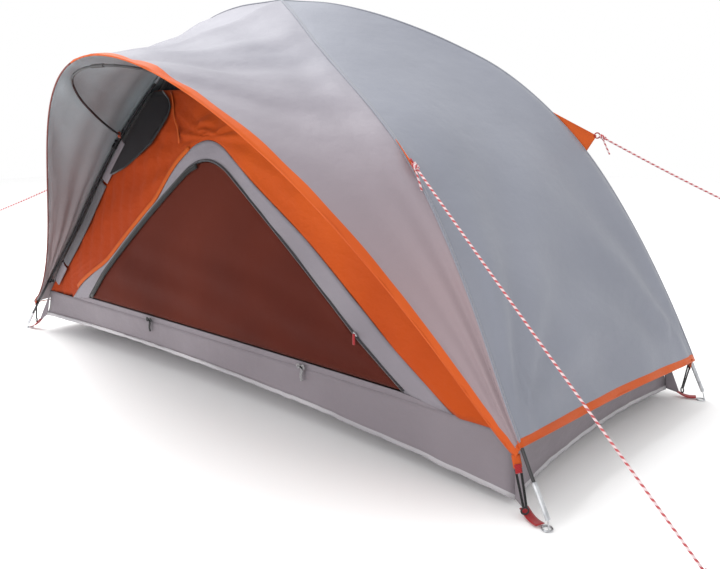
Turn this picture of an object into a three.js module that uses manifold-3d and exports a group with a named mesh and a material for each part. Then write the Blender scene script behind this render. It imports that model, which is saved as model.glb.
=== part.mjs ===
// One-person dome tent: an inner tent on two crossed main poles, a brow hoop that carries an awning,
// and a separate flysheet. Millimetres, +Z up, +X along the door side, the door faces -Y.
// Corners are named as seen from the door: front_left, front_right, back_right, back_left.
import * as THREE from "three";
import { mergeVertices } from "three/addons/utils/BufferGeometryUtils.js";
import Module from "manifold-3d";

// ---- driving dimensions ----
const FOOT_LENGTH = 2240; // between pole feet along X
const FOOT_WIDTH = 940; // between pole feet along Y
const CROSSING_Y = -120; // where the main poles cross, drawn towards the door by the awning
const FRONT_BOW = 50; // how far a front half pole bows towards the door in plan
const BACK_BOW = 20; // how far a back half pole bows towards the back
const ROD_RADIUS = 4;
const FERRULE_RADIUS = 5.5;
const FLOOR_LENGTH = 2040;
const FLOOR_WIDTH = 870;
const TUB_HEIGHT = 155; // the waterproof lower wall
const FLOOR_INSET = 160; // how far in from its hem the lifted groundsheet meets the ground
const WALL_TOP = 880; // where the solid walls give way to the mesh roof
const CLOTH = 3; // thickness that stands for a fabric panel
const GAP = 0.5; // clearance between touching pieces
const POLE_CLEARANCE = 13; // from a pole's axis out to the flysheet or in to the inner tent
const FLY_HEM = { front: 0.925, back: 0.955 }; // how far down its poles the flysheet reaches
const TRIM_WIDTH = 20;
const DOOR_BASE = 710; // half the door's width at its foot
const DOOR_HEIGHT = 535; // to where the door's edges would meet
const DOOR_LEAN = 0.17; // how far the door's outline leans to the left for each unit it climbs
const EDGE_BULGE = 25; // how far the door's edges stand out from straight, half way up
const BORDER_WIDTH = 50;
const ROPE_RADIUS = 2.5;
const LOOP_RADIUS = 12;

// Height of each half pole above the ground at every tenth of its plan length, crossing first.
const HALF_POLES = {
  front_left: { x: -1, y: -1, z: [1120, 1116, 1076, 985, 872, 742, 590, 425, 282, 150, 14] },
  front_right: { x: 1, y: -1, z: [1129, 1072, 1004, 938, 872, 802, 715, 588, 420, 212, 14] },
  back_right: { x: 1, y: 1, z: [1120, 1116, 1088, 1045, 990, 922, 822, 688, 505, 280, 14] },
  back_left: { x: -1, y: 1, z: [1129, 1128, 1096, 1048, 990, 922, 822, 688, 505, 280, 14] },
};
const CORNERS = Object.keys(HALF_POLES);

const COLOURS = {
  fly: [0xa6a7b0, 0.6, 0],
  trim: [0xe86c30, 0.6, 0],
  orange: [0xcc5526, 0.7, 0],
  grey: [0x969094, 0.7, 0],
  brown: [0x6b3022, 0.8, 0],
  mesh: [0x303033, 0.9, 0],
  rod: [0x1b1b1d, 0.35, 0],
  steel: [0xb9bcc0, 0.3, 1],
  webbing: [0xc8202c, 0.8, 0],
  black: [0x161618, 0.6, 0],
  rope: [0xc94a4a, 0.8, 0],
};

const wasm = await Module();
wasm.setup();

const tent = new THREE.Group();
const vec = (x, y, z) => new THREE.Vector3(x, y, z);
const lerp = (a, b, t) => a.clone().lerp(b, t);
const mirrored = (p) => vec(-p.x, p.y, p.z);

function addPart(name, geometry, colour) {
  const [color, roughness, metalness] = COLOURS[colour];
  const mesh = new THREE.Mesh(
    geometry,
    new THREE.MeshStandardMaterial({ color, roughness, metalness }),
  );
  mesh.name = name;
  tent.add(mesh);
  return mesh;
}

// ---- solids ----
function toManifold(geometry) {
  const bare = new THREE.BufferGeometry();
  bare.setAttribute("position", geometry.getAttribute("position"));
  if (geometry.index) bare.setIndex(geometry.index);
  const merged = mergeVertices(bare, 1e-3);
  return new wasm.Manifold(
    new wasm.Mesh({
      numProp: 3,
      vertProperties: new Float32Array(merged.attributes.position.array),
      triVerts: new Uint32Array(merged.index.array),
    }),
  );
}

function toGeometry(manifold) {
  const mesh = manifold.getMesh();
  const geometry = new THREE.BufferGeometry();
  geometry.setAttribute("position", new THREE.BufferAttribute(mesh.vertProperties, 3));
  geometry.setIndex(new THREE.BufferAttribute(mesh.triVerts, 1));
  return geometry;
}

function join(geometries) {
  return toGeometry(geometries.map(toManifold).reduce((a, b) => a.add(b)));
}

// A closed surface from corner points and faces, turned so that its faces point outwards.
function closedSurface(points, faces) {
  let volume = 0;
  for (const [a, b, c] of faces) {
    volume += points[a].dot(points[b].clone().cross(points[c]));
  }
  const geometry = new THREE.BufferGeometry();
  geometry.setAttribute(
    "position",
    new THREE.Float32BufferAttribute(points.flatMap((p) => p.toArray()), 3),
  );
  geometry.setIndex(faces.flatMap(([a, b, c]) => (volume < 0 ? [a, c, b] : [a, b, c])));
  return geometry;
}

// A cloth panel: a grid of points (rows of equal length) thickened along its own normals.
// With wrap, each row closes on itself.
function clothPanel(rows, thickness = CLOTH, wrap = false) {
  const height = rows.length;
  const width = rows[0].length;
  const column = (j) => (wrap ? (j + width) % width : Math.min(Math.max(j, 0), width - 1));
  const at = (i, j) => rows[Math.min(Math.max(i, 0), height - 1)][column(j)];
  const points = [];
  for (const side of [0.5, -0.5]) {
    for (let i = 0; i < height; i++) {
      for (let j = 0; j < width; j++) {
        const along = at(i, j + 1).clone().sub(at(i, j - 1));
        const up = at(i + 1, j).clone().sub(at(i - 1, j));
        const normal = along.cross(up).normalize();
        points.push(at(i, j).clone().addScaledVector(normal, side * thickness));
      }
    }
  }
  const back = height * width;
  const id = (i, j) => i * width + column(j);
  const faces = [];
  const quad = (a, b, c, d) => faces.push([a, b, c], [a, c, d]);
  const spans = wrap ? width : width - 1;
  for (let i = 0; i < height - 1; i++) {
    for (let j = 0; j < spans; j++) {
      quad(id(i, j), id(i, j + 1), id(i + 1, j + 1), id(i + 1, j));
      quad(back + id(i, j), back + id(i + 1, j), back + id(i + 1, j + 1), back + id(i, j + 1));
    }
  }
  for (let j = 0; j < spans; j++) {
    quad(id(0, j), back + id(0, j), back + id(0, j + 1), id(0, j + 1));
    const top = height - 1;
    quad(id(top, j), id(top, j + 1), back + id(top, j + 1), back + id(top, j));
  }
  if (!wrap) {
    for (let i = 0; i < height - 1; i++) {
      quad(id(i, 0), id(i + 1, 0), back + id(i + 1, 0), back + id(i, 0));
      const end = width - 1;
      quad(id(i, end), back + id(i, end), back + id(i + 1, end), id(i + 1, end));
    }
  }
  return closedSurface(points, faces);
}

function roundSection(radius, sides) {
  const shape = new THREE.Shape();
  for (let k = 0; k < sides; k++) {
    const turn = (2 * Math.PI * k) / sides;
    const [x, y] = [radius * Math.cos(turn), radius * Math.sin(turn)];
    if (k === 0) shape.moveTo(x, y);
    else shape.lineTo(x, y);
  }
  return shape;
}

function tube(curve, radius, steps, sides = 8) {
  return new THREE.ExtrudeGeometry(roundSection(radius, sides), { steps, extrudePath: curve });
}

// A flat strap of a given width and thickness between two points.
function strap(from, to, width, thickness) {
  const along = to.clone().sub(from);
  const box = new THREE.BoxGeometry(along.length(), width, thickness);
  const turn = new THREE.Matrix4();
  const x = along.clone().normalize();
  const y = vec(-x.y, x.x, 0).normalize();
  turn.makeBasis(x, y, x.clone().cross(y));
  turn.setPosition(lerp(from, to, 0.5));
  return box.applyMatrix4(turn);
}

// A ring about an axis through its centre.
function ringAt(centre, axis, radius, wire) {
  const ring = new THREE.TorusGeometry(radius, wire, 6, 12);
  const turn = new THREE.Quaternion();
  turn.setFromUnitVectors(vec(0, 0, 1), axis.clone().normalize());
  return ring.applyQuaternion(turn).translate(centre.x, centre.y, centre.z);
}

// Part of a curve, by arc length.
class Stretch extends THREE.Curve {
  constructor(curve, start, end) {
    super();
    Object.assign(this, { curve, start, end });
  }
  getPoint(t, target = vec(0, 0, 0)) {
    return target.copy(this.curve.getPointAt(this.start + (this.end - this.start) * t));
  }
}

// ---- the frame's curves ----
const heights = {};
for (const corner of CORNERS) {
  const points = HALF_POLES[corner].z.map((z, k) => new THREE.Vector2(k / 10, z));
  heights[corner] = new THREE.SplineCurve(points);
}

// A point on a half pole's axis: t is 0 at the crossing and 1 at the foot.
function polePoint(corner, t) {
  const { x, y } = HALF_POLES[corner];
  const { x: reach, y: z } = heights[corner].getPoint(t);
  const bow = (y < 0 ? FRONT_BOW : BACK_BOW) * 4 * reach * (1 - reach);
  const across = CROSSING_Y + (y * FOOT_WIDTH * 0.5 - CROSSING_Y) * reach + y * bow;
  return vec(x * FOOT_LENGTH * 0.5 * reach, across, z);
}

const TENT_CORE = vec(0, 0, 250);

// The way out of the tent at a point, as on an ellipsoid's shell.
function outwardAt(point) {
  const out = point.clone().sub(TENT_CORE);
  return out.divide(vec(FOOT_LENGTH / 2, FOOT_WIDTH / 2, 880)).normalize();
}

// A point beside a pole, outside it by the distance given (inside where it is negative).
function beside(corner, t, distance) {
  const point = polePoint(corner, t);
  return point.clone().addScaledVector(outwardAt(point), distance);
}

function poleAtHeight(corner, z) {
  let [low, high] = [0.05, 1];
  for (let k = 0; k < 24; k++) {
    const middle = (low + high) / 2;
    if (polePoint(corner, middle).z > z) low = middle;
    else high = middle;
  }
  return low;
}

// The free edge of the awning, from the front right corner (turn 0) over to the front left (turn pi).
function awningEdge(turn) {
  const rise = Math.sin(turn);
  return vec(1045 * Math.cos(turn), -465 - 280 * rise ** 4, 125 + 820 * rise ** 2.6);
}

// ---- poles ----
const POLE_FOOT = 0.955; // where a rod enters its foot ferrule
const JOINTS = [0.34, 0.66]; // places of a main pole's ferrules along its length
const HALF_FERRULE = 0.009;
const POLE_PAIRS = [
  ["left_pole", "front_left", "back_right"],
  ["right_pole", "front_right", "back_left"],
];
for (const [name, first, second] of POLE_PAIRS) {
  const points = [];
  for (let k = 9; k > 0; k--) points.push(polePoint(first, (POLE_FOOT * k) / 9));
  for (let k = 0; k <= 9; k++) points.push(polePoint(second, (POLE_FOOT * k) / 9));
  const axis = new THREE.CatmullRomCurve3(points);
  const clear = GAP / axis.getLength();
  const ends = [0, ...JOINTS.flatMap((j) => [j - HALF_FERRULE, j + HALF_FERRULE]), 1];
  for (let k = 0; k < 3; k++) {
    const rod = new Stretch(axis, ends[2 * k] + clear, ends[2 * k + 1] - clear);
    addPart(`${name}_rod_${k + 1}`, tube(rod, ROD_RADIUS, 16), "rod");
  }
  for (let k = 0; k < 2; k++) {
    const sleeve = new Stretch(axis, ends[2 * k + 1], ends[2 * k + 2]);
    addPart(`${name}_ferrule_${k + 1}`, tube(sleeve, FERRULE_RADIUS, 3), "steel");
  }
}

const RING_RADIUS = 11;
const RING_WIRE = 1.8;
for (const corner of CORNERS) {
  const top = polePoint(corner, POLE_FOOT);
  const tip = polePoint(corner, 0.992);
  const sleeve = new THREE.LineCurve3(top, tip);
  addPart(`foot_ferrule_${corner}`, tube(sleeve, FERRULE_RADIUS, 1, 10), "steel");

  // Ring and pin: the pin enters the ferrule's open end, the ring lies beside the foot.
  const { x, y } = HALF_POLES[corner];
  const foot = vec((x * FOOT_LENGTH) / 2, (y * FOOT_WIDTH) / 2, RING_WIRE + 0.2);
  const centre = foot.clone().add(vec(-x * 8, -y * 4, 0));
  const ring = new THREE.TorusGeometry(RING_RADIUS, RING_WIRE, 6, 16);
  ring.translate(centre.x, centre.y, centre.z);
  const down = tip.clone().sub(top).normalize();
  const pinTop = tip.clone().addScaledVector(down, 2 * GAP);
  const pinEnd = centre.clone().add(vec(x * 8, y * 7, 0));
  const pin = tube(new THREE.LineCurve3(pinEnd, pinTop), 1.7, 1, 6);
  addPart(`ring_pin_${corner}`, join([ring, pin]), "steel");

  // Webbing strap from the floor's corner to the ring.
  const floorEnd = (x * FLOOR_LENGTH) / 2;
  const floorCorner = vec(floorEnd + x * 6, (y * FLOOR_WIDTH) / 2 + y * 4, hemHeight(floorEnd) + 2);
  const strapEnd = centre.clone().add(vec(-x * 17, -y * 9, 3));
  addPart(`corner_webbing_${corner}`, strap(floorCorner, strapEnd, 22, 2), "webbing");
}

// Brow hoop: from its seat on the front left pole out under the awning's edge to the other side.
const SEAT_PLACE = 0.5;
const seatLeft = polePoint("front_left", SEAT_PLACE);
const seatRight = polePoint("front_right", SEAT_PLACE);
const hoopHalf = [
  vec(-480, -432, 770),
  vec(-395, -525, 808),
  vec(-300, -622, 855),
  vec(-205, -690, 897),
  vec(-100, -722, 916),
];
const SEAT_REACH = 22;
const towards = (from, to, reach) =>
  from.clone().addScaledVector(to.clone().sub(from).normalize(), reach);
const hoopStart = towards(seatLeft, hoopHalf[0], SEAT_REACH);
const hoopEnd = towards(seatRight, mirrored(hoopHalf[0]), SEAT_REACH);
const hoopAxis = new THREE.CatmullRomCurve3([
  hoopStart,
  ...hoopHalf,
  vec(0, -730, 921),
  ...hoopHalf.map(mirrored).reverse(),
  hoopEnd,
]);
addPart("brow_hoop_left_rod", tube(new Stretch(hoopAxis, 0, 0.479), 3.5, 16), "rod");
addPart("brow_hoop_ferrule", tube(new Stretch(hoopAxis, 0.48, 0.52), 4.8, 3), "steel");
addPart("brow_hoop_right_rod", tube(new Stretch(hoopAxis, 0.521, 1), 3.5, 16), "rod");
for (const [side, seat, start] of [
  ["left", seatLeft, hoopStart],
  ["right", seatRight, hoopEnd],
]) {
  const near = towards(seat, start, ROD_RADIUS + 6);
  const far = towards(seat, start, SEAT_REACH - GAP);
  addPart(`hoop_seat_${side}`, strap(near, far, 16, 9), "orange");
}

// ---- inner tent ----
// The groundsheet is a tray: flat on the ground, up to a hem, then up the lower wall.
// A ring round it stands in from the floor's edge by an inset, at a height that may vary along X.
function trayRing(inset, height, bow) {
  const ring = [];
  const perSide = 6;
  const corners = [
    [-1, -1],
    [1, -1],
    [1, 1],
    [-1, 1],
  ];
  corners.forEach(([x, y], k) => {
    const [nextX, nextY] = corners[(k + 1) % 4];
    for (let step = 0; step < perSide; step++) {
      const t = step / perSide;
      const pull = 1 - bow * 4 * t * (1 - t);
      const alongX = x !== nextX;
      const px = (FLOOR_LENGTH / 2 - inset) * (x + (nextX - x) * t) * (alongX ? 1 : pull);
      const py = (FLOOR_WIDTH / 2 - inset) * (y + (nextY - y) * t) * (alongX ? pull : 1);
      ring.push(vec(px, py, height(px)));
    }
  });
  return ring;
}

// The poles' pull lifts the hem off the ground, most of all along the sides and at the left end.
function hemHeight(x) {
  const share = x / (FLOOR_LENGTH / 2);
  return 40 - 20 * share + 30 * (1 - share ** 2);
}

const HEM_BOW = 0.03;
const TUB_IN = 12; // how far the lower wall leans in at its top
const level = (z) => () => z;
const tubRows = [
  trayRing(FLOOR_INSET, level(CLOTH / 2), HEM_BOW),
  trayRing(FLOOR_INSET - 20, level(CLOTH / 2 + 2), HEM_BOW),
  trayRing(0, hemHeight, HEM_BOW),
  trayRing(TUB_IN / 2, level(TUB_HEIGHT * 0.6), HEM_BOW * 0.8),
  trayRing(TUB_IN, level(TUB_HEIGHT), HEM_BOW * 0.6),
];
const floorOutline = new THREE.Shape(
  trayRing(FLOOR_INSET + GAP, level(0), HEM_BOW).map((p) => new THREE.Vector2(p.x, p.y)),
);
const floorSheet = new THREE.ExtrudeGeometry(floorOutline, { depth: CLOTH, bevelEnabled: false });
addPart("groundsheet_floor", floorSheet, "grey");
addPart("bathtub_wall", clothPanel(tubRows, CLOTH, true), "grey");

// A wall of the inner tent between two half poles: level rows, straight across, drawn in a little.
function wallRow(left, right, z, columns, sag) {
  const a = beside(left, poleAtHeight(left, z), -POLE_CLEARANCE - 6);
  const b = beside(right, poleAtHeight(right, z), -POLE_CLEARANCE - 6);
  const inward = vec(0, 0, z).sub(lerp(a, b, 0.5)).normalize();
  const row = [];
  for (let k = 0; k <= columns; k++) {
    const t = k / columns;
    const edge = 8 / a.distanceTo(b);
    const point = lerp(a, b, edge + (1 - 2 * edge) * t);
    row.push(point.addScaledVector(inward, sag * Math.sin(Math.PI * t)));
  }
  return row;
}

// The bottom row follows the top of the groundsheet's lower wall.
function tubTopRow(left, right, columns) {
  const a = HALF_POLES[left];
  const b = HALF_POLES[right];
  const [x, y] = [FLOOR_LENGTH / 2 - TUB_IN - 6, FLOOR_WIDTH / 2 - TUB_IN - 6];
  const row = [];
  for (let k = 0; k <= columns; k++) {
    const t = k / columns;
    const pull = 1 - HEM_BOW * 0.6 * 4 * t * (1 - t);
    const across = a.x !== b.x;
    const px = x * (a.x + (b.x - a.x) * t) * (across ? 0.996 : pull);
    const py = y * (a.y + (b.y - a.y) * t) * (across ? pull : 0.99);
    row.push(vec(px, py, TUB_HEIGHT + CLOTH));
  }
  return row;
}

const WALL_SAG = 8;
function innerWall(left, right, columns) {
  const rows = [tubTopRow(left, right, columns)];
  const levels = 6;
  for (let k = 1; k <= levels; k++) {
    const z = TUB_HEIGHT + ((WALL_TOP - TUB_HEIGHT) * k) / levels;
    rows.push(wallRow(left, right, z, columns, WALL_SAG));
  }
  return clothPanel(rows);
}

addPart("inner_wall_back", innerWall("back_right", "back_left", 8), "orange");
addPart("inner_wall_head", innerWall("back_left", "front_left", 6), "orange");
addPart("inner_wall_foot", innerWall("front_right", "back_right", 6), "orange");

// Mesh roof: rings of points that climb from the walls' top towards the crossing.
const roofRows = [];
const ROOF_LEVELS = [WALL_TOP + 6, 950, 1010, 1055, 1082];
for (const z of ROOF_LEVELS) {
  const ring = [];
  CORNERS.forEach((corner, k) => {
    const row = wallRow(corner, CORNERS[(k + 1) % 4], z, 4, 10);
    ring.push(...row);
  });
  roofRows.push(ring);
}
addPart("mesh_roof", clothPanel(roofRows, CLOTH, true), "mesh");

// The door: a wide triangle with a round top, cut from the front wall, hinged at its foot.
const DOOR_FOOT = TUB_HEIGHT + 20;
const EDGE_RUN = DOOR_BASE / DOOR_HEIGHT; // how far a door edge runs in for each unit it climbs
const ROUNDING = 75; // how far below that meeting point the edges begin to round over

// A point of the door's outline at a height, on its right (side 1) or left (side -1).
function doorEdge(side, z, widen) {
  const climb = z - DOOR_FOOT;
  const bulge = EDGE_BULGE * Math.sin((Math.PI * climb) / DOOR_HEIGHT);
  const half = DOOR_BASE + widen - climb * EDGE_RUN + Math.max(bulge, 0);
  return [side * half - DOOR_LEAN * climb, z];
}

// The door's outline grown all round by a margin, down to the foot level given.
function doorOutline(grow, foot) {
  const widen = grow * Math.hypot(1, EDGE_RUN);
  const peak = DOOR_FOOT + (DOOR_BASE + widen) / EDGE_RUN;
  const shoulder = peak - ROUNDING;
  const steps = 6;
  const levels = [];
  for (let k = 0; k <= steps; k++) levels.push(foot + ((shoulder - foot) * k) / steps);
  const shape = new THREE.Shape();
  shape.moveTo(...doorEdge(-1, foot, widen));
  for (const z of levels) shape.lineTo(...doorEdge(1, z, widen));
  const lean = DOOR_LEAN * (peak - DOOR_FOOT);
  shape.quadraticCurveTo(-lean, peak, ...doorEdge(-1, shoulder, widen));
  for (const z of levels.slice(1, -1).reverse()) shape.lineTo(...doorEdge(-1, z, widen));
  shape.closePath();
  return shape;
}

function doorPrism(grow, foot) {
  const depth = 400;
  const prism = new THREE.ExtrudeGeometry(doorOutline(grow, foot), {
    depth,
    bevelEnabled: false,
    curveSegments: 8,
  });
  prism.rotateX(Math.PI / 2);
  prism.translate(0, -200, 0);
  return toManifold(prism);
}

const frontSheet = toManifold(innerWall("front_left", "front_right", 16));
const wallCut = doorPrism(BORDER_WIDTH, TUB_HEIGHT - 60);
addPart("inner_wall_front", toGeometry(frontSheet.subtract(wallCut)), "orange");
const borderOuter = doorPrism(BORDER_WIDTH - GAP, TUB_HEIGHT - 60);
const border = frontSheet.intersect(borderOuter).subtract(doorPrism(1, DOOR_FOOT - 1));
addPart("door_border", toGeometry(border), "grey");
addPart("door_panel", toGeometry(frontSheet.intersect(doorPrism(-1.5, DOOR_FOOT + 1))), "brown");

// Zip slider and pull, parked low on the door's right edge, just proud of the wall.
const ZIP_HEIGHT = 290;
const ZIP_Y = -432;
const [zipX] = doorEdge(1, ZIP_HEIGHT, 18);
const slider = new THREE.BoxGeometry(14, 6, 8);
slider.rotateY(Math.atan2(DOOR_HEIGHT, DOOR_BASE));
slider.translate(zipX, ZIP_Y, ZIP_HEIGHT);
addPart("zip_slider", slider, "steel");
const pull = new THREE.BoxGeometry(7, 2, 30);
pull.translate(zipX, ZIP_Y - 5, ZIP_HEIGHT - 12);
addPart("zip_pull", pull, "webbing");

// Two ties at the door's foot that hold the rolled door.
for (const [side, x] of [
  ["left", -330],
  ["right", 375],
]) {
  const y = tubTopRow("front_left", "front_right", 2)[1].y - 18;
  const knot = new THREE.BoxGeometry(26, 5, 12);
  knot.translate(x, y, DOOR_FOOT - 12);
  const tail = new THREE.BoxGeometry(9, 3, 42);
  tail.translate(x + 3, y, DOOR_FOOT - 32);
  addPart(`door_tie_${side}`, join([knot, tail]), side === "left" ? "black" : "grey");
}

// ---- flysheet ----
const hemPlace = (corner) => FLY_HEM[HALF_POLES[corner].y < 0 ? "front" : "back"];

// A panel between two poles' ridges, from near the crossing down to a straight hem.
function flyPanel(left, right, columns, sag) {
  const rows = [];
  const levels = 10;
  const top = 0.03;
  for (let k = 0; k <= levels; k++) {
    const share = k / levels;
    const a = beside(left, top + (hemPlace(left) - top) * share, POLE_CLEARANCE);
    const b = beside(right, top + (hemPlace(right) - top) * share, POLE_CLEARANCE);
    const span = a.distanceTo(b);
    const edge = 3 / span;
    const inward = TENT_CORE.clone().sub(lerp(a, b, 0.5)).normalize();
    const row = [];
    for (let j = 0; j <= columns; j++) {
      const t = j / columns;
      const point = lerp(a, b, edge + (1 - 2 * edge) * t);
      row.push(point.addScaledVector(inward, sag * Math.sin(Math.PI * t) ** 2 * share));
    }
    rows.push(row);
  }
  return clothPanel(rows);
}

addPart("fly_panel_back", flyPanel("back_right", "back_left", 10, 20), "fly");
addPart("fly_panel_head", flyPanel("back_left", "front_left", 8, 8), "fly");
addPart("fly_panel_foot", flyPanel("front_right", "back_right", 8, 8), "fly");

// The awning: from the ridge over both front half poles out to the free edge.
const TURN_END = 0.2;
const awningColumns = 24;
function awningPoint(turn, share) {
  const edge = awningEdge(turn);
  const corner = edge.x < 0 ? "front_left" : "front_right";
  const reach = Math.abs(edge.x) / (FOOT_LENGTH / 2);
  const ridge = beside(corner, Math.max(reach, 0.001), POLE_CLEARANCE);
  ridge.y -= 5;
  const point = lerp(ridge, edge, share);
  const hollow = 34 * Math.sin(turn) ** 8 * Math.sin(Math.PI * share);
  return point.add(vec(0, 0, -hollow));
}

function awningStrip(fromShare, toShare, count) {
  const rows = [];
  for (let i = 0; i <= count; i++) {
    const row = [];
    for (let j = 0; j <= awningColumns; j++) {
      const turn = TURN_END + ((Math.PI - 2 * TURN_END) * j) / awningColumns;
      const length = awningPoint(turn, 0).distanceTo(awningEdge(turn));
      const trimShare = Math.min(TRIM_WIDTH / length, 0.45);
      const [from, to] = [fromShare(trimShare), toShare(trimShare)];
      row.push(awningPoint(turn, from + (to - from) * (i / count)));
    }
    rows.push(row);
  }
  return clothPanel(rows);
}

addPart("fly_awning", awningStrip(() => 0, (trim) => 1 - trim, 7), "fly");
addPart("awning_trim", awningStrip((trim) => 1 - trim * 0.95, () => 1, 1), "trim");

// Gussets on the ridges, where the guylines pull: the places along the pole where each begins,
// ends and has its pull point, and how far the pull point stands off the flysheet.
const GUSSETS = {
  front_left: { top: 0.56, foot: 0.64, pull: 0.6, reach: 42 },
  front_right: { top: 0.567, foot: 0.647, pull: 0.625, reach: 23 },
  back_right: { top: 0.612, foot: 0.692, pull: 0.68, reach: 50 },
  back_left: { top: 0.612, foot: 0.692, pull: 0.68, reach: 50 },
};
const guyPoints = {};
for (const corner of CORNERS) {
  const { y } = HALF_POLES[corner];
  const gusset = GUSSETS[corner];
  const top = beside(corner, gusset.top, POLE_CLEARANCE + 5);
  const foot = beside(corner, gusset.foot, POLE_CLEARANCE + 5);
  const apex = beside(corner, gusset.pull, POLE_CLEARANCE + gusset.reach);
  const side = vec(0, y * 1.2, 0);
  const points = [top, foot, apex].flatMap((p) => [p.clone().add(side), p.clone().sub(side)]);
  const faces = [
    [0, 2, 4],
    [1, 5, 3],
    [0, 1, 3],
    [0, 3, 2],
    [2, 3, 5],
    [2, 5, 4],
    [4, 5, 1],
    [4, 1, 0],
  ];
  addPart(`guy_gusset_${corner}`, closedSurface(points, faces), "trim");
  guyPoints[corner] = beside(corner, gusset.pull, POLE_CLEARANCE + gusset.reach + 4);

  const hem = beside(corner, hemPlace(corner) + 0.008, POLE_CLEARANCE);
  const hookPlace = beside(corner, (1 + hemPlace(corner)) / 2, POLE_CLEARANCE + 9);
  const elastic = strap(hem, hookPlace, 12, 2);
  const hookCentre = hookPlace.clone().add(vec(0, 0, -6));
  const hook = ringAt(hookCentre, outwardAt(hookPlace), 7.5, 1.8);
  addPart(`fly_hook_${corner}`, join([elastic, hook]), "black");
}

// ---- guylines ----
const GUY_ROUTES = {
  front_left: vec(-1150, -550, 452),
  front_right: vec(1424, -483, 32),
  back_right: vec(1140, 479, 567),
};
for (const [corner, end] of Object.entries(GUY_ROUTES)) {
  const start = guyPoints[corner];
  const out = end.clone().sub(start).normalize();
  const from = start.clone().addScaledVector(out, ROPE_RADIUS);
  const rope = new THREE.LineCurve3(from, end);
  addPart(`guyline_${corner}`, tube(rope, ROPE_RADIUS, 4), "rope");
  const centre = end.clone().addScaledVector(out, LOOP_RADIUS + ROPE_RADIUS + GAP);
  const loop = ringAt(centre, vec(-out.y, out.x, 0), LOOP_RADIUS, ROPE_RADIUS);
  addPart(`guyline_loop_${corner}`, loop, "rope");
}

export default tent;
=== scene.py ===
import functools
import math

import bpy
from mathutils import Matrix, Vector, noise


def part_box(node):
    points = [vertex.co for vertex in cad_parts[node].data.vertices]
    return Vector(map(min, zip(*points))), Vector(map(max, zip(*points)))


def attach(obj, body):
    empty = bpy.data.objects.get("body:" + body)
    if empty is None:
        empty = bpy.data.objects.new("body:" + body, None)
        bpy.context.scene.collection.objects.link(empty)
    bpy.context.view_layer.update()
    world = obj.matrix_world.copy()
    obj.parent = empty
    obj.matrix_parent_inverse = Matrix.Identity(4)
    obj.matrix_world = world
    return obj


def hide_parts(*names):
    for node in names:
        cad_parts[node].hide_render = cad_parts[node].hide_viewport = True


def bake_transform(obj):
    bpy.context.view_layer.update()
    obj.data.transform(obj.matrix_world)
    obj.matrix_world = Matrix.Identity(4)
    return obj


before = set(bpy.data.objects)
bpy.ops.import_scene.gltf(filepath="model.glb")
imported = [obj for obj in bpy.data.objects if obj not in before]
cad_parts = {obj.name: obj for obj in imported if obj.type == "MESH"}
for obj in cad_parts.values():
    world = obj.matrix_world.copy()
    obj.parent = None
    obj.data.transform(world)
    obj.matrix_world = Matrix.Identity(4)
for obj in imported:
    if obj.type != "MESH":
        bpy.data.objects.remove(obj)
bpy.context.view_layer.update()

# ---- driving dimensions, the same as the part's ----
FOOT_LENGTH = 2.240
FOOT_WIDTH = 0.940
CROSSING_Y = -0.120
FRONT_BOW = 0.050
BACK_BOW = 0.020
FLOOR_LENGTH = 2.040
FLOOR_WIDTH = 0.870
TUB_HEIGHT = 0.155
TUB_IN = 0.012
HEM_BOW = 0.03
WALL_TOP = 0.886
WALL_SAG = 0.008
WALL_INSET = -0.019  # from a pole's axis in to the inner tent
POLE_CLEARANCE = 0.013  # from a pole's axis out to the flysheet
FRONT_HEM = 0.925  # how far down its poles the flysheet reaches
BACK_HEM = 0.955
TRIM_WIDTH = 0.020
DOOR_FOOT = 0.175
DOOR_BASE = 0.710
DOOR_HEIGHT = 0.535
DOOR_LEAN = 0.17
EDGE_BULGE = 0.025
ROUNDING = 0.075
BORDER_WIDTH = 0.050
ROPE_DIAMETER = 0.005
CLOTH = 0.0012  # thickness of the modelled cloth

HALF_POLES = {
    "front_left": (-1, -1, [1.120, 1.116, 1.076, 0.985, 0.872, 0.742, 0.590, 0.425, 0.282, 0.150, 0.014]),
    "front_right": (1, -1, [1.129, 1.072, 1.004, 0.938, 0.872, 0.802, 0.715, 0.588, 0.420, 0.212, 0.014]),
    "back_right": (1, 1, [1.120, 1.116, 1.088, 1.045, 0.990, 0.922, 0.822, 0.688, 0.505, 0.280, 0.014]),
    "back_left": (-1, 1, [1.129, 1.128, 1.096, 1.048, 0.990, 0.922, 0.822, 0.688, 0.505, 0.280, 0.014]),
}
CORNERS = list(HALF_POLES)
UP = Vector((0, 0, 1))
TO_DOOR = Vector((0, -1, 0))  # the way the door faces


# ---- the frame's curves ----
def catmull(values, place):
    """Uniform Catmull-Rom through evenly spaced values, the end values repeated."""
    last = len(values) - 1
    spot = place * last
    k = min(int(spot), last)
    w = spot - k
    a, b = values[max(k - 1, 0)], values[k]
    c, d = values[min(k + 1, last)], values[min(k + 2, last)]
    return b + 0.5 * w * (c - a + w * (2 * a - 5 * b + 4 * c - d + w * (3 * (b - c) + d - a)))


def pole_point(corner, place):
    """A point on a half pole's axis: place is 0 at the crossing and 1 at the foot."""
    x, y, heights = HALF_POLES[corner]
    reach = catmull([k / 10 for k in range(11)], place)
    bow = (FRONT_BOW if y < 0 else BACK_BOW) * 4 * reach * (1 - reach)
    across = CROSSING_Y + (y * FOOT_WIDTH / 2 - CROSSING_Y) * reach + y * bow
    return Vector((x * FOOT_LENGTH / 2 * reach, across, catmull(heights, place)))


def outward_at(point):
    out = point - Vector((0, 0, 0.25))
    return Vector((out.x / 1.12, out.y / 0.47, out.z / 0.88)).normalized()


def beside(corner, place, distance):
    point = pole_point(corner, place)
    return point + outward_at(point) * distance


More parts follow.
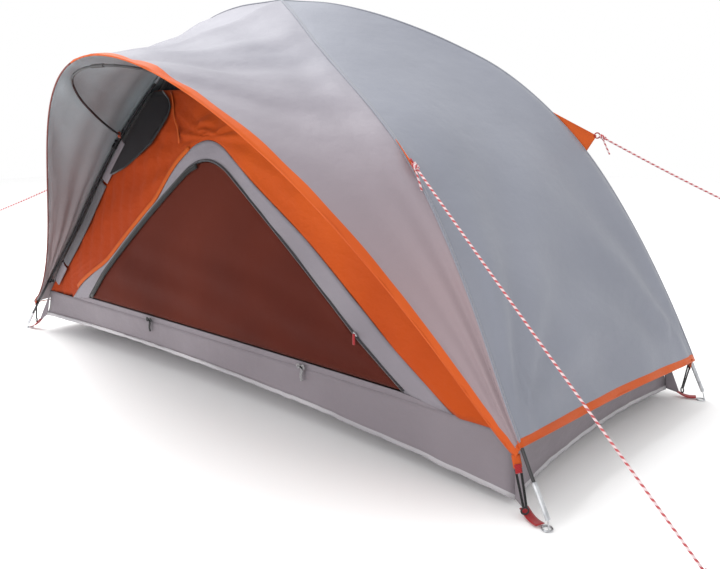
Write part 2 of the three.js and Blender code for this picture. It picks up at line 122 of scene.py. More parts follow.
@functools.lru_cache(maxsize=None)
def pole_at_height(corner, z):
    low, high = 0.05, 1.0
    for _ in range(24):
        middle = (low + high) / 2
        if pole_point(corner, middle).z > z:
            low = middle
        else:
            high = middle
    return low


def smooth(edge0, edge1, value):
    t = min(max((value - edge0) / (edge1 - edge0), 0.0), 1.0)
    return t * t * (3 - 2 * t)


CROWN = Vector((0, CROSSING_Y - 0.003, 1.1425))


@functools.lru_cache(maxsize=None)
def ridge(corner, place):
    """The line where two panels of the flysheet meet over a pole; all four meet at the crown."""
    return beside(corner, place, POLE_CLEARANCE).lerp(CROWN, 1 - smooth(0.0, 0.09, place))


def hem_place(corner):
    return FRONT_HEM if HALF_POLES[corner][1] < 0 else BACK_HEM


def fly_ridge(corner, place):
    """The same line by the front poles' measure: at FRONT_HEM it is at every pole's hem."""
    return ridge(corner, place * hem_place(corner) / FRONT_HEM)


# ---- camera ----
camera_data = bpy.data.cameras.new("camera")
camera_data.lens = 37.0
camera_data.sensor_width = 36.0
camera = bpy.data.objects.new("camera", camera_data)
camera.location = (1.715, -1.705, 0.790)
camera.rotation_euler = (math.radians(90 - 12.45), 0, math.radians(41.54))
bpy.context.scene.collection.objects.link(camera)
bpy.context.scene.camera = camera


# ---- materials ----
def srgb(r, g, b):
    def linear(c):
        c /= 255
        return c / 12.92 if c < 0.04045 else ((c + 0.055) / 1.055) ** 2.4

    return (linear(r), linear(g), linear(b), 1.0)


WAVE_PERIOD = 0.314159  # how far apart the wave texture's bands lie at a scale of 1


class Shader:
    """A node tree around one Principled shader, with the few patterns that this object needs."""

    def __init__(self, name, roughness, metallic=0.0, sheen=0.0, specular=0.5):
        self.material = bpy.data.materials.new(name)
        self.material.use_nodes = True
        self.nodes = self.material.node_tree.nodes
        self.links = self.material.node_tree.links
        self.principled = self.nodes["Principled BSDF"]
        self.principled.inputs["Roughness"].default_value = roughness
        self.principled.inputs["Metallic"].default_value = metallic
        self.principled.inputs["Sheen Weight"].default_value = sheen
        self.principled.inputs["Specular IOR Level"].default_value = specular
        self.place = self.nodes.new("ShaderNodeTexCoord")

    def feed(self, socket, value):
        """Links another node's output to the socket, or sets the socket to a plain value."""
        if hasattr(value, "is_linked"):
            self.links.new(value, socket)
        else:
            socket.default_value = value

    def node(self, kind, settings=(), **inputs):
        made = self.nodes.new("ShaderNode" + kind)
        for key, value in settings:
            setattr(made, key, value)
        for key, value in inputs.items():
            self.feed(made.inputs[key.replace("_", " ")], value)
        return made

    def maths(self, operation, a, b=0.0):
        made = self.nodes.new("ShaderNodeMath")
        made.operation = operation
        for socket, value in zip(made.inputs, (a, b)):
            self.feed(socket, value)
        return made.outputs[0]

    def noise(self, scale, detail=3.0, where="Object", stretch=(1, 1, 1)):
        moved = self.node("Mapping", Scale=stretch, Vector=self.place.outputs[where])
        made = self.node("TexNoise", Vector=moved.outputs[0], Scale=scale, Detail=detail)
        return made.outputs["Fac"]

    def blend(self, factor, a, b):
        mix = self.nodes.new("ShaderNodeMix")
        mix.data_type = "RGBA"
        for key, value in ((0, factor), (6, a), (7, b)):
            self.feed(mix.inputs[key], value)
        return mix.outputs[2]

    def ramp(self, value, low, high):
        made = self.node("MapRange", Value=value, From_Min=low, From_Max=high)
        return made.outputs[0]

    def waves(self, pitch, direction, where="UV"):
        """Parallel ribs a pitch apart, in the piece's own flat coordinates."""
        made = self.node(
            "TexWave",
            settings=(("bands_direction", direction), ("wave_profile", "SIN")),
            Vector=self.place.outputs[where],
            Scale=1 / pitch * WAVE_PERIOD,
            Distortion=0.0,
        )
        return made.outputs["Fac"]

    def colour(self, value):
        self.links.new(value, self.principled.inputs["Base Color"])

    def bump(self, height, strength, distance):
        made = self.node("Bump", Strength=strength, Distance=distance, Height=height)
        before = self.principled.inputs["Normal"]
        if before.is_linked:
            self.links.new(before.links[0].from_socket, made.inputs["Normal"])
        self.links.new(made.outputs[0], before)


def fabric(
    name, light, dark, roughness, sheen, pitch=0.0011, alpha=1.0, crumple=0.35, specular=0.3, painted_shade=None,
):
    """Woven cloth: crossing threads, soft crumples, and a colour that wanders a little.
    The last argument, (axis, from, to, colour), is painted shade: along the axis the cloth turns to that
    colour, for the shaded side."""
    cloth = Shader(name, roughness, sheen=sheen, specular=specular)
    broad = cloth.ramp(cloth.noise(2.3, 2), 0.35, 0.65)
    base = cloth.blend(broad, light, dark)
    # painted shade: along one axis the colour turns to a shaded tone
    if painted_shade:
        axis, start, end, shade = painted_shade
        axes = cloth.node("SeparateXYZ", Vector=cloth.place.outputs["Object"])
        base = cloth.blend(cloth.ramp(axes.outputs[axis], start, end), base, shade)
    warp = cloth.waves(pitch, "X")
    weft = cloth.waves(pitch, "Y")
    weave = cloth.maths("MAXIMUM", warp, weft)
    shade = cloth.maths("MULTIPLY", cloth.maths("SUBTRACT", 1.0, weave), 0.22)
    dim = [c * 0.72 for c in dark[:3]] + [1.0]
    cloth.colour(cloth.blend(shade, base, dim))
    cloth.bump(cloth.noise(9, 4, stretch=(1, 1, 1.6)), crumple, 0.012)
    cloth.bump(cloth.noise(55, 3), crumple * 0.5, 0.0012)
    cloth.bump(weave, 0.25, 0.0003)
    rough = cloth.ramp(cloth.noise(30, 2), 0.0, 1.0)
    spread = cloth.maths("ADD", cloth.maths("MULTIPLY", rough, 0.12), roughness - 0.06)
    cloth.links.new(spread, cloth.principled.inputs["Roughness"])
    if alpha < 1:
        cloth.principled.inputs["Alpha"].default_value = alpha
    return cloth.material


def plain_metal(name, light, dark, roughness, scratch=60):
    metal = Shader(name, roughness, metallic=1.0)
    worn = metal.ramp(metal.noise(scratch, 4), 0.35, 0.7)
    metal.colour(metal.blend(worn, light, dark))
    metal.bump(metal.noise(400, 2), 0.15, 0.0003)
    return metal.material


def rod_material():
    rod = Shader("pole_rod", 0.32, specular=0.6)
    worn = rod.ramp(rod.noise(18, 3), 0.45, 0.75)
    rod.colour(rod.blend(worn, srgb(24, 24, 27), srgb(52, 52, 56)))
    rod.bump(rod.noise(700, 2, stretch=(1, 1, 0.2)), 0.2, 0.0003)
    return rod.material


def webbing_material(name, light, dark, pitch=0.0024):
    """Woven strap: ribs across, a slight herringbone, darker between the threads."""
    strap = Shader(name, 0.75, sheen=0.3, specular=0.3)
    ribs = strap.waves(pitch, "X")
    rows = strap.waves(pitch * 1.7, "DIAGONAL")
    weave = strap.maths("MULTIPLY", ribs, rows)
    strap.colour(strap.blend(weave, dark, light))
    strap.bump(weave, 0.6, 0.0006)
    return strap.material


def rope_material():
    """Sheath of a guyline: red and white strands that wind round it."""
    rope = Shader("guy_rope", 0.7, sheen=0.25, specular=0.3)
    along = rope.waves(0.0072, "DIAGONAL", "UV")
    stripe = rope.ramp(along, 0.30, 0.62)
    rope.colour(rope.blend(stripe, srgb(184, 78, 82), srgb(220, 198, 200)))
    rope.bump(rope.waves(0.0012, "DIAGONAL", "UV"), 0.5, 0.0005)
    return rope.material


def plastic(name, light, dark, roughness=0.45):
    moulded = Shader(name, roughness, specular=0.45)
    patch = moulded.ramp(moulded.noise(25, 3), 0.3, 0.7)
    moulded.colour(moulded.blend(patch, light, dark))
    moulded.bump(moulded.noise(900, 2), 0.15, 0.0002)
    return moulded.material


FLY_LIGHT, FLY_DARK = srgb(137, 140, 151), srgb(128, 131, 142)
M_FLY = fabric("fly_fabric", FLY_LIGHT, FLY_DARK, 0.50, 0.12)
# The awning is a copy of the fly's cloth with painted shade: lower down it turns darker and mauve, with a
# painted orange glow from the inner tent behind it.
M_AWNING_PAINTED_SHADE = fabric(
    "awning_painted_shade", srgb(142, 141, 151), srgb(134, 133, 143), 0.5, 0.12,
    painted_shade=("Z", 0.95, 0.45, srgb(144, 126, 130)),
)
# The fly's inner face is painted lighter than its outer face, as painted light that comes through the cloth;
# lower down, painted shade turns it darker and mauve.
M_FLY_INSIDE_PAINTED_LIGHT = fabric(
    "fly_lining_painted_light", srgb(166, 176, 182), srgb(156, 166, 172), 0.6, 0.1,
    painted_shade=("Z", 0.80, 0.35, srgb(150, 138, 140)),
)
M_TRIM = fabric("trim_fabric", srgb(204, 92, 36), srgb(190, 80, 28), 0.5, 0.05, crumple=0.5, specular=0.15)
# Painted shade: towards the left (falling x) the orange turns darker, for the shade the awning casts on the
# left of the inner tent.
M_ORANGE = fabric(
    "orange_fabric", srgb(200, 84, 22), srgb(174, 66, 14), 0.65, 0.05, crumple=0.7, specular=0.12,
    painted_shade=("X", 0.10, -0.45, srgb(158, 56, 14)),
)
M_FACING = fabric(
    "orange_facing", srgb(192, 90, 32), srgb(178, 76, 22), 0.6, 0.05, crumple=0.5, specular=0.15,
)
M_GREY = fabric("grey_fabric", srgb(134, 126, 132), srgb(122, 114, 120), 0.55, 0.1, crumple=0.6)
# The border is a copy of the grey fabric whose tone is painted light: bluer than the grey fabric, for the
# cool shade on the border against the orange that bounces onto it.
M_BORDER_PAINTED_LIGHT = fabric(
    "border_painted_light", srgb(146, 140, 147), srgb(130, 124, 131), 0.6, 0.1, crumple=0.55, specular=0.2,
)
M_BINDING = fabric("hem_binding", srgb(196, 193, 196), srgb(160, 157, 161), 0.6, 0.1, crumple=0.8)
M_PIPING = webbing_material("piping", srgb(150, 48, 26), srgb(96, 26, 16))
M_FLOOR = fabric("floor_fabric", srgb(110, 106, 110), srgb(98, 94, 98), 0.6, 0.1)
M_BROWN = fabric(
    "brown_mesh", srgb(96, 38, 24), srgb(82, 30, 19), 0.75, 0.05, 0.0022,
    alpha=0.88, crumple=0.2, specular=0.12,
)
M_NET = fabric(
    "black_mesh", srgb(46, 43, 46), srgb(34, 31, 34), 0.8, 0.1, 0.0022,
    alpha=0.86, crumple=0.2, specular=0.15,
)
M_SLEEVE = fabric("sleeve_fabric", srgb(106, 103, 107), srgb(88, 86, 90), 0.65, 0.12)
M_ROD = rod_material()
M_STEEL = plain_metal("steel_fitting", srgb(205, 207, 210), srgb(160, 162, 166), 0.28)
M_RED = webbing_material("red_webbing", srgb(190, 28, 36), srgb(140, 16, 24), 0.0016)
M_BLACK_WEB = webbing_material("black_elastic", srgb(28, 28, 30), srgb(10, 10, 11))
M_ORANGE_WEB = webbing_material("orange_webbing", srgb(200, 84, 34), srgb(166, 58, 20), 0.0016)
M_GREY_WEB = webbing_material("grey_webbing", srgb(178, 176, 178), srgb(110, 108, 110))
M_THREAD = webbing_material("seam_tape", srgb(140, 142, 152), srgb(126, 128, 138), 0.0032)
M_DARK_TAPE = webbing_material("zip_tape", srgb(88, 84, 88), srgb(50, 48, 52), 0.0028)
M_BLACK = plastic("black_plastic", srgb(26, 26, 28), srgb(40, 40, 43))
M_ROPE = rope_material()


def finish_piece(name, mesh, materials, body, replaces=()):
    for material in materials:
        mesh.materials.append(material)
    piece = bpy.data.objects.new(name, mesh)
    bpy.context.scene.collection.objects.link(piece)
    mesh.shade_smooth()
    if body == "door":
        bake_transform(piece)
    else:
        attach(piece, body)
    if replaces:
        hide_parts(*replaces)
    return piece


def write_flat(mesh, uvs):
    """Gives every face its flat coordinates, one for each of its corners."""
    layer = mesh.uv_layers.new(name="flat")
    for polygon, uv in zip(mesh.polygons, uvs):
        for loop, spot in zip(polygon.loop_indices, uv):
            layer.data[loop].uv = spot


class Cloth:
    """Collects grids of points into one sheet; grids that meet share the points where they meet."""

    def __init__(self):
        self.points = []
        self.lifts = []
        self.index = {}
        self.faces = []
        self.kinds = []
        self.uvs = []

    def vertex(self, point, lift):
        key = (round(point.x, 5), round(point.y, 5), round(point.z, 5))
        if key not in self.index:
            self.index[key] = len(self.points)
            self.points.append(point)
            self.lifts.append(lift)
        return self.index[key]

    def grid(self, rows, lift=None, kind=None, wrap=False, flip=False):
        """rows of points; lift(i, j) is how far a point is pushed out; kind(i, j) is a face's material."""
        count = len(rows)
        width = len(rows[0])
        middle = width // 2
        down = [0.0]
        for i in range(1, count):
            down.append(down[-1] + (rows[i][middle] - rows[i - 1][middle]).length)
        spans = [(a - b).length for a, b in zip(rows[count // 2][1:], rows[count // 2])]
        along = [0.0]
        for span in spans + [spans[-1]]:
            along.append(along[-1] + span)
        ids = [
            [self.vertex(p, lift(i, j) if lift else 0.0) for j, p in enumerate(row)]
            for i, row in enumerate(rows)
        ]
        for i in range(count - 1):
            for j in range(width if wrap else width - 1):
                k = (j + 1) % width
                corners = [(i, j, j), (i, k, j + 1), (i + 1, k, j + 1), (i + 1, j, j)]
                if flip:
                    corners.reverse()
                face, uv = [], []
                for row, column, step in corners:
                    if ids[row][column] not in face:
                        face.append(ids[row][column])
                        uv.append((along[step], down[row]))
                if len(face) > 2:
                    self.faces.append(face)
                    self.kinds.append(kind(i, j) if kind else 0)
                    self.uvs.append(uv)

    def build(self, name, materials, body, slot, replaces=(), thickness=CLOTH, inside=0):
        mesh = bpy.data.meshes.new(name)
        mesh.from_pydata(self.points, [], self.faces)
        write_flat(mesh, self.uvs)
        for polygon, kind in zip(mesh.polygons, self.kinds):
            polygon.material_index = kind
        mesh.update()
        normals = [v.normal.copy() for v in mesh.vertices]
        for vertex, normal, lift in zip(mesh.vertices, normals, self.lifts):
            vertex.co += normal * lift
        mesh.update()
        piece = finish_piece(name, mesh, materials, body, replaces)
        shell = piece.modifiers.new("thickness", "SOLIDIFY")
        shell.thickness = thickness
        shell.offset = 0
        shell.use_even_offset = False
        if inside:
            shell.material_offset = inside
        return piece

    def area(self):
        total = 0.0
        for face in self.faces:
            p = [self.points[k] for k in face]
            for b, c in zip(p[1:], p[2:]):
                total += (b - p[0]).cross(c - p[0]).length / 2
        return total


def ribbon(
    name, path, normals, width, material, body, slot, replaces=(), thickness=0.0012, columns=4, crown=0.0,
):
    """A flat strap that follows a path, its face turned to the normals; crown bends it across."""
    cloth = Cloth()
    rows = []
    count = len(path)
    for k, (point, normal) in enumerate(zip(path, normals)):
        along = (path[min(k + 1, count - 1)] - path[max(k - 1, 0)]).normalized()
        across = along.cross(normal).normalized()
        row = []
        for j in range(columns + 1):
            side = j / columns * 2 - 1
            row.append(point + across * side * width / 2 - normal * crown * side * side)
        rows.append(row)
    # columns run across, so the strap's length is the first flat coordinate
    turned = [list(column) for column in zip(*rows)]
    cloth.grid(turned)
    return cloth.build(name, [material], body, slot, replaces, thickness)


ROUND = 6.28  # a circle's way round over its radius, close enough for the flat coordinates


def tube_mesh(name, path, radius, material, body, replaces=(), sides=10, closed=False):
    """A round cord along a path, with its length and its way round as flat coordinates."""
    cloth = Cloth()
    count = len(path)
    frames = []
    side = None
    for k in range(count):
        before = path[k - 1] if closed or k else path[0]
        after = path[(k + 1) % count] if closed or k < count - 1 else path[-1]
        along = (after - before).normalized()
        if side is None:
            side = along.orthogonal().normalized()
        side = (side - along * side.dot(along)).normalized()
        frames.append((path[k], side.copy(), along.cross(side)))
    radii = radius if isinstance(radius, list) else [radius] * count
    rows = []
    for (centre, a, b), r in zip(frames, radii):
        turn = [2 * math.pi * s / sides for s in range(sides)]
        rows.append([centre + (a * math.cos(t) + b * math.sin(t)) * r for t in turn])
    if closed:
        rows.append(rows[0])
    mesh = bpy.data.meshes.new(name)
    points = [p for row in rows[: count if closed else None] for p in row]
    faces = []
    uvs = []
    run = 0.0
    for i in range(len(rows) - 1):
        step = (rows[i + 1][0] - rows[i][0]).length
        for j in range(sides):
            k = (j + 1) % sides
            low, high = (i % count) * sides, ((i + 1) % count) * sides
            faces.append((low + j, low + k, high + k, high + j))
            u0, u1 = run, run + step
            v0, v1 = (step_round / sides * radii[i % count] * ROUND for step_round in (j, j + 1))
            uvs.append(((u0, v0), (u0, v1), (u1, v1), (u1, v0)))
        run += step
    if not closed:
        faces.append(tuple(reversed(range(sides))))
        uvs.append(tuple((0.0, 0.0) for _ in range(sides)))
        last = (count - 1) * sides
        faces.append(tuple(last + j for j in range(sides)))
        uvs.append(tuple((run, 0.0) for _ in range(sides)))
    mesh.from_pydata(points, [], faces)
    write_flat(mesh, uvs)
    mesh.update()
    return finish_piece(name, mesh, [material], body, replaces)


def between(a, b, count):
    return [a.lerp(b, k / (count - 1)) for k in range(count)]


def ring_path(centre, axis, radius, count=24, start=0.0, sweep=2 * math.pi):
    a = axis.orthogonal().normalized()
    b = axis.normalized().cross(a)
    steps = count if sweep >= 2 * math.pi - 1e-6 else count - 1
    angles = [start + sweep * k / steps for k in range(count)]
    return [centre + (a * math.cos(t) + b * math.sin(t)) * radius for t in angles]


def wander(point, scale, seed):
    """Smooth noise from -1 to 1."""
    return noise.noise(point * scale + Vector((seed * 7.3, seed * 3.1, seed * 5.7)))


# ---- guylines ----
GUSSETS = {
    "front_left": (0.56, 0.64, 0.6, 0.042),
    "front_right": (0.567, 0.647, 0.625, 0.023),
    "back_right": (0.612, 0.692, 0.68, 0.050),
    "back_left": (0.612, 0.692, 0.68, 0.050),
}
GUY_ENDS = {
    "front_left": Vector((-1.150, -0.550, 0.452)),
    "front_right": Vector((1.424, -0.483, 0.032)),
    "back_right": Vector((1.140, 0.479, 0.567)),
}
LOOP_RADIUS = 0.012
ROPE_POINTS = 17
guy_points = {}
for corner, (_, _, pull, reach) in GUSSETS.items():
    guy_points[corner] = beside(corner, pull, POLE_CLEARANCE + reach + 0.004)

for corner, end in GUY_ENDS.items():
    start = guy_points[corner]
    out = (end - start).normalized()
    begin = start + out * ROPE_DIAMETER / 2
    points = between(begin, end, ROPE_POINTS)
    for k, point in enumerate(points):
        point.z -= 0.003 * math.sin(math.pi * k / (ROPE_POINTS - 1))
    rope = tube_mesh(
        f"rope_{corner}", points, ROPE_DIAMETER / 2, M_ROPE, "flysheet",
        [f"guyline_{corner}"], sides=12,
    )
    centre = end + out * (LOOP_RADIUS + ROPE_DIAMETER / 2)
    turn = Vector((-out.y, out.x, 0))
    loop = tube_mesh(
        f"rope_loop_{corner}", ring_path(centre, turn, LOOP_RADIUS, 28), ROPE_DIAMETER / 2, M_ROPE,
        "flysheet", [f"guyline_loop_{corner}"], closed=True,
    )
    # Knots: three turns of the rope round itself, at the gusset and before the end loop.
    for tag, at in (("near", begin + out * 0.012), ("far", end - out * 0.014)):
        coil = []
        side = out.orthogonal().normalized()
        other = out.cross(side)
        for k in range(43):
            t = 2 * math.pi * k / 14
            ring = side * math.cos(t) + other * math.sin(t)
            coil.append(at + out * (k / 14 - 1.5) * 0.0048 + ring * 0.0044)
        tube_mesh(f"rope_knot_{corner}_{tag}", coil, 0.0024, M_ROPE, "flysheet", sides=8)
    tail = [begin + out * 0.012 + UP * -0.004]
    for k in range(1, 9):
        tail.append(tail[0] + out * 0.002 * k + Vector((0.001 * k, 0, -0.0045 * k)))
    tube_mesh(f"rope_tail_{corner}", tail, 0.0022, M_ROPE, "flysheet", sides=8)


def hem_height(x):
    """The poles' pull lifts the tray's hem, most of all along the sides and at the left end."""
    share = x / (FLOOR_LENGTH / 2)
    return 0.040 - 0.020 * share + 0.030 * (1 - share**2)


def strap_ends(corner):
    """The red strap's two ends: at the tray's corner and on the steel ring."""
    low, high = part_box(f"corner_webbing_{corner}")
    x, y, _ = HALF_POLES[corner]
    end = x * FLOOR_LENGTH / 2
    near = Vector((end + x * 0.002, y * (FLOOR_WIDTH / 2 + 0.001), hem_height(end) + 0.004))
    far = Vector((high.x if x > 0 else low.x, high.y if y > 0 else low.y, 0.006))
    return near, far


# ---- flysheet ----
HEM_PLACE = FRONT_HEM - 0.0058  # where the orange hem band begins
HEM_STEP = 0.0012  # the band's colour changes within this much
PLACES = [HEM_PLACE * k / 56 for k in range(57)] + [HEM_PLACE + HEM_STEP]
PLACES += [HEM_PLACE + HEM_STEP + (FRONT_HEM - HEM_PLACE - HEM_STEP) * k / 3 for k in (1, 2, 3)]
CORE = Vector((0, 0, 0.25))
AWNING_REACH = 1.045  # from the tent's middle to either end of the awning's edge
AWNING_FEET_Y = -0.465
AWNING_FORWARD = 0.28  # how much further forward the top of the edge is than its feet
AWNING_FEET_Z = 0.125
AWNING_RISE = 0.82


def awning_edge(turn):
    rise = math.sin(turn)
    return Vector((
        AWNING_REACH * math.cos(turn),
        AWNING_FEET_Y - AWNING_FORWARD * rise**4,
        AWNING_FEET_Z + AWNING_RISE * rise**2.6,
    ))


def panel_rows(left, right, columns, sag):
    rows = []
    for place in PLACES:
        a, b = fly_ridge(left, place), fly_ridge(right, place)
        inward = (CORE - (a + b) / 2).normalized()
        row = []
        for j in range(columns + 1):
            t = j / columns
            row.append(a.lerp(b, t) + inward * sag * math.sin(math.pi * t) ** 2 * place)
        rows.append(row)
    return rows


def panel_lift(rows, seed, folds):
    """Soft folds of a tight panel: broad noise, folds that fan out from its two lower corners."""
    width = len(rows[0]) - 1
    foot_left, foot_right = rows[-1][0], rows[-1][-1]

    def lift(i, j):
        point = rows[i][j]
        t = j / width
        place = PLACES[i]
        edge = min(t, 1 - t)
        fade = smooth(0.0, 0.12, edge)
        near_fade = smooth(0.0, 0.04, edge)
        amount = 0.010 * wander(point, 1.7, seed) * fade * smooth(0.04, 0.25, place)
        for foot in (foot_left, foot_right):
            away = point - foot
            along = rows[-1][width // 2] - foot
            angle = math.atan2(away.dot(UP), abs(away.dot(along.normalized())) + 1e-6)
            reach = away.length
            gather = folds * reach * math.exp(-reach / 0.30) * math.sin(angle * 14 + seed)
            amount += gather * (near_fade if gather > 0 else fade)
        if place > HEM_PLACE:
            amount += 0.0012
        ruffle = 0.0030 * math.sin(t * 22 + 2 * wander(point, 5, seed + 1))
        return amount + ruffle * smooth(0.80, FRONT_HEM, place) * fade

    return lift


def hem_kind(i, j):
    return 1 if PLACES[i] >= HEM_PLACE - 1e-6 else 0


fly = Cloth()
for left, right, columns, sag, seed, folds in (
    ("back_right", "back_left", 112, 0.020, 1, 0.045),
    ("back_left", "front_left", 72, 0.008, 2, 0.060),
    ("front_right", "back_right", 72, 0.008, 3, 0.075),
):
    rows = panel_rows(left, right, columns, sag)
    fly.grid(rows, panel_lift(rows, seed, folds), hem_kind, flip=True)

# The awning, from the ridge over both front half poles out to the free edge.
AWNING_ROWS = 22
awning_columns = [("front_left", p) for p in reversed(PLACES)]
awning_columns += [("front_right", p) for p in PLACES[1:]]
HOOP = [(0.56, -0.345, 0.725), (0.48, -0.432, 0.770), (0.395, -0.525, 0.808), (0.30, -0.622, 0.855)]
HOOP += [(0.205, -0.690, 0.897), (0.10, -0.722, 0.916), (0, -0.730, 0.921)]
HOOP += [(-x, y, z) for x, y, z in reversed(HOOP[:-1])]
hoop_line = [Vector([catmull(values, k / 72) for values in zip(*HOOP)]) for k in range(73)]


def hoop_rise(point):
    """How far the brow hoop holds the awning up at a point: the cloth falls away on both sides of it."""
    best, top = 9.0, 0.0
    for a, b in zip(hoop_line, hoop_line[1:]):
        run = (b - a).xy
        t = min(max((point.xy - a.xy).dot(run) / run.length_squared, 0), 1)
        distance = (point.xy - a.xy - run * t).length
        if distance < best:
            best, top = distance, a.z + (b.z - a.z) * t
    over = top + 0.0095 - 0.5 * best - 12 * best**2 - point.z
    return 0.004 * math.log1p(math.exp(min(over / 0.004, 30)))


def awning_column(corner, place):
    side = HALF_POLES[corner][0]
    reach = side * FOOT_LENGTH / 2 * place / AWNING_REACH
    turn = math.acos(min(reach, 1.0) if side > 0 else reach)
    top, edge = fly_ridge(corner, place), awning_edge(turn)
    length = (edge - top).length
    trim = min(TRIM_WIDTH * (1 + 0.45 * math.sin(turn) ** 6) / max(length, 1e-4), 0.45)
    shares = [k / AWNING_ROWS * (1 - trim) for k in range(AWNING_ROWS + 1)]
    shares += [1 - trim + min(0.0012 / length, trim / 4)]
    shares += [1 - trim + trim * k / 3 for k in (1, 2, 3)]
    points = []
    for share in shares:
        hollow = 0.034 * math.sin(turn) ** 8 * math.sin(math.pi * share)
        point = top.lerp(edge, share) - UP * hollow
        held = smooth(0.0, 0.2, share) * smooth(0.25, 0.45, math.sin(turn))
        points.append(point + UP * hoop_rise(point) * held)
    return points, shares, trim, turn


awning_parts = [awning_column(*column) for column in awning_columns]
awning_rows = [[part[0][i] for part in awning_parts] for i in range(len(awning_parts[0][0]))]
ARCH_TOP = awning_edge(math.pi / 2)


def awning_lift(i, j):
    points, shares, trim, turn = awning_parts[j]
    point, share = points[i], shares[i]
    fade = smooth(0.0, 0.15, share) * smooth(0.0, 0.12, 1 - share)
    amount = 0.007 * wander(point, 2.1, 4) * fade
    # tension folds that fan out from the arch's top towards the ridge
    away = point - ARCH_TOP
    angle = math.atan2(away.y + 0.25, abs(away.x) + 0.02)
    spread = smooth(0.03, 0.15, away.length) * math.exp(-away.length / 0.8) * fade
    amount += (0.0080 * math.sin(angle * 21) + 0.0028 * math.sin(angle * 49 + 1)) * spread
    # long shallow folds that run with the arch
    amount += 0.0025 * math.sin(share * 17 + 3 * wander(point, 1.6, 6)) * fade
    # gathers that run down to the two feet
    length = (points[0] - points[-1]).length
    for foot in (awning_parts[0][0][0], awning_parts[-1][0][0]):
        reach = (point - foot).length
        amount += min(0.006, 0.05 * length) * math.sin(share * 20 + 1) * math.exp(-reach / 0.30) * fade
    # nothing dips where the brow hoop carries the cloth
    near = math.exp(-((hoop_rise(point + UP * 0.004) / 0.003) ** 2))
    amount = max(amount, 0.0) + min(amount, 0.0) * near
    if share >= 1 - trim:
        amount += 0.0012
        amount += 0.0015 * math.sin(turn * 46 + 3 * wander(point, 6, 5))
    return amount


def awning_kind(i, j):
    corner_place = min(awning_columns[j][1], awning_columns[min(j + 1, len(awning_columns) - 1)][1])
    return 1 if i >= AWNING_ROWS or corner_place >= HEM_PLACE - 1e-6 else 2


fly.grid(awning_rows, awning_lift, awning_kind, flip=True)
fly_sheet = fly.build(
    "flysheet_cloth", [M_FLY, M_TRIM, M_AWNING_PAINTED_SHADE] + [M_FLY_INSIDE_PAINTED_LIGHT] * 3, "flysheet", "fly_fabric",
    ["fly_panel_back", "fly_panel_head", "fly_panel_foot", "fly_awning", "awning_trim"], inside=3,
)

# Rolled edge of the awning and of each hem.
edge_path = [parts[0][-1] for parts in awning_parts]
BINDING_TURN = len(edge_path) * 9 // 20
for tag, path, material in (
    ("head", edge_path[: BINDING_TURN + 1], M_PIPING),
    ("foot", edge_path[BINDING_TURN:], M_TRIM),
):
    tube_mesh(f"awning_binding_{tag}", path, 0.0022, material, "flysheet", sides=8)
for left, right, side in (
    ("back_right", "back_left", "back"),
    ("back_left", "front_left", "head"),
    ("front_right", "back_right", "foot"),
):
    a, b = fly_ridge(left, FRONT_HEM), fly_ridge(right, FRONT_HEM)
    inward = (CORE - (a + b) / 2).normalized()
    sag = (0.020 if side == "back" else 0.008) * FRONT_HEM
    path = []
    for k in range(61):
        t = k / 60
        path.append(a.lerp(b, t) + inward * sag * math.sin(math.pi * t) ** 2)
    tube_mesh(f"hem_binding_{side}", path, 0.002, M_TRIM, "flysheet", sides=8)

# Seams over the poles, from the crown down to the hem; each lies on the two panels that meet there.
NEIGHBOURS = {
    "front_left": ("awning", "back_left"),
    "front_right": ("awning", "back_right"),
    "back_right": ("front_right", "back_left"),
    "back_left": ("back_right", "front_left"),
}


def panel_side(corner, other, place):
    """The direction in which a panel leaves the line over a pole."""
    point = fly_ridge(corner, place)
    beyond = awning_column(corner, place)[0][2] if other == "awning" else fly_ridge(other, place)
    return (beyond - point).normalized()


for corner in CORNERS:
    cloth = Cloth()
    rows = []
    for k in range(71):
        place = 0.02 + (FRONT_HEM - 0.024) * k / 70
        point = fly_ridge(corner, place)
        out = outward_at(point)
        before, after = (panel_side(corner, other, place) for other in NEIGHBOURS[corner])
        row = [point + before * aside + out * rise for aside, rise in ((0.005, 0.0014), (0.0025, 0.0017))]
        row.append(point + out * 0.0020)
        row += [point + after * aside + out * rise for aside, rise in ((0.0025, 0.0017), (0.005, 0.0014))]
        rows.append(row)
    cloth.grid([list(column) for column in zip(*rows)])
    cloth.build(f"fly_seam_{corner}", [M_THREAD], "flysheet", "fly_fabric", thickness=0.0009)
    # straps that tie the flysheet to the pole
    tie = 0.52 if HALF_POLES[corner][1] < 0 else 0.56
    centre = pole_point(corner, tie)
    along = (pole_point(corner, tie + 0.01) - pole_point(corner, tie - 0.01)).normalized()
    for step, tag in ((-1, "upper"), (1, "lower")):
        band = ring_path(centre + along * 0.011 * step, along, 0.0078, 20)
        tube_mesh(
                f"fly_pole_tie_{corner}_{tag}", band, 0.0022, M_BLACK, "flysheet", sides=8,
                closed=True,
            )

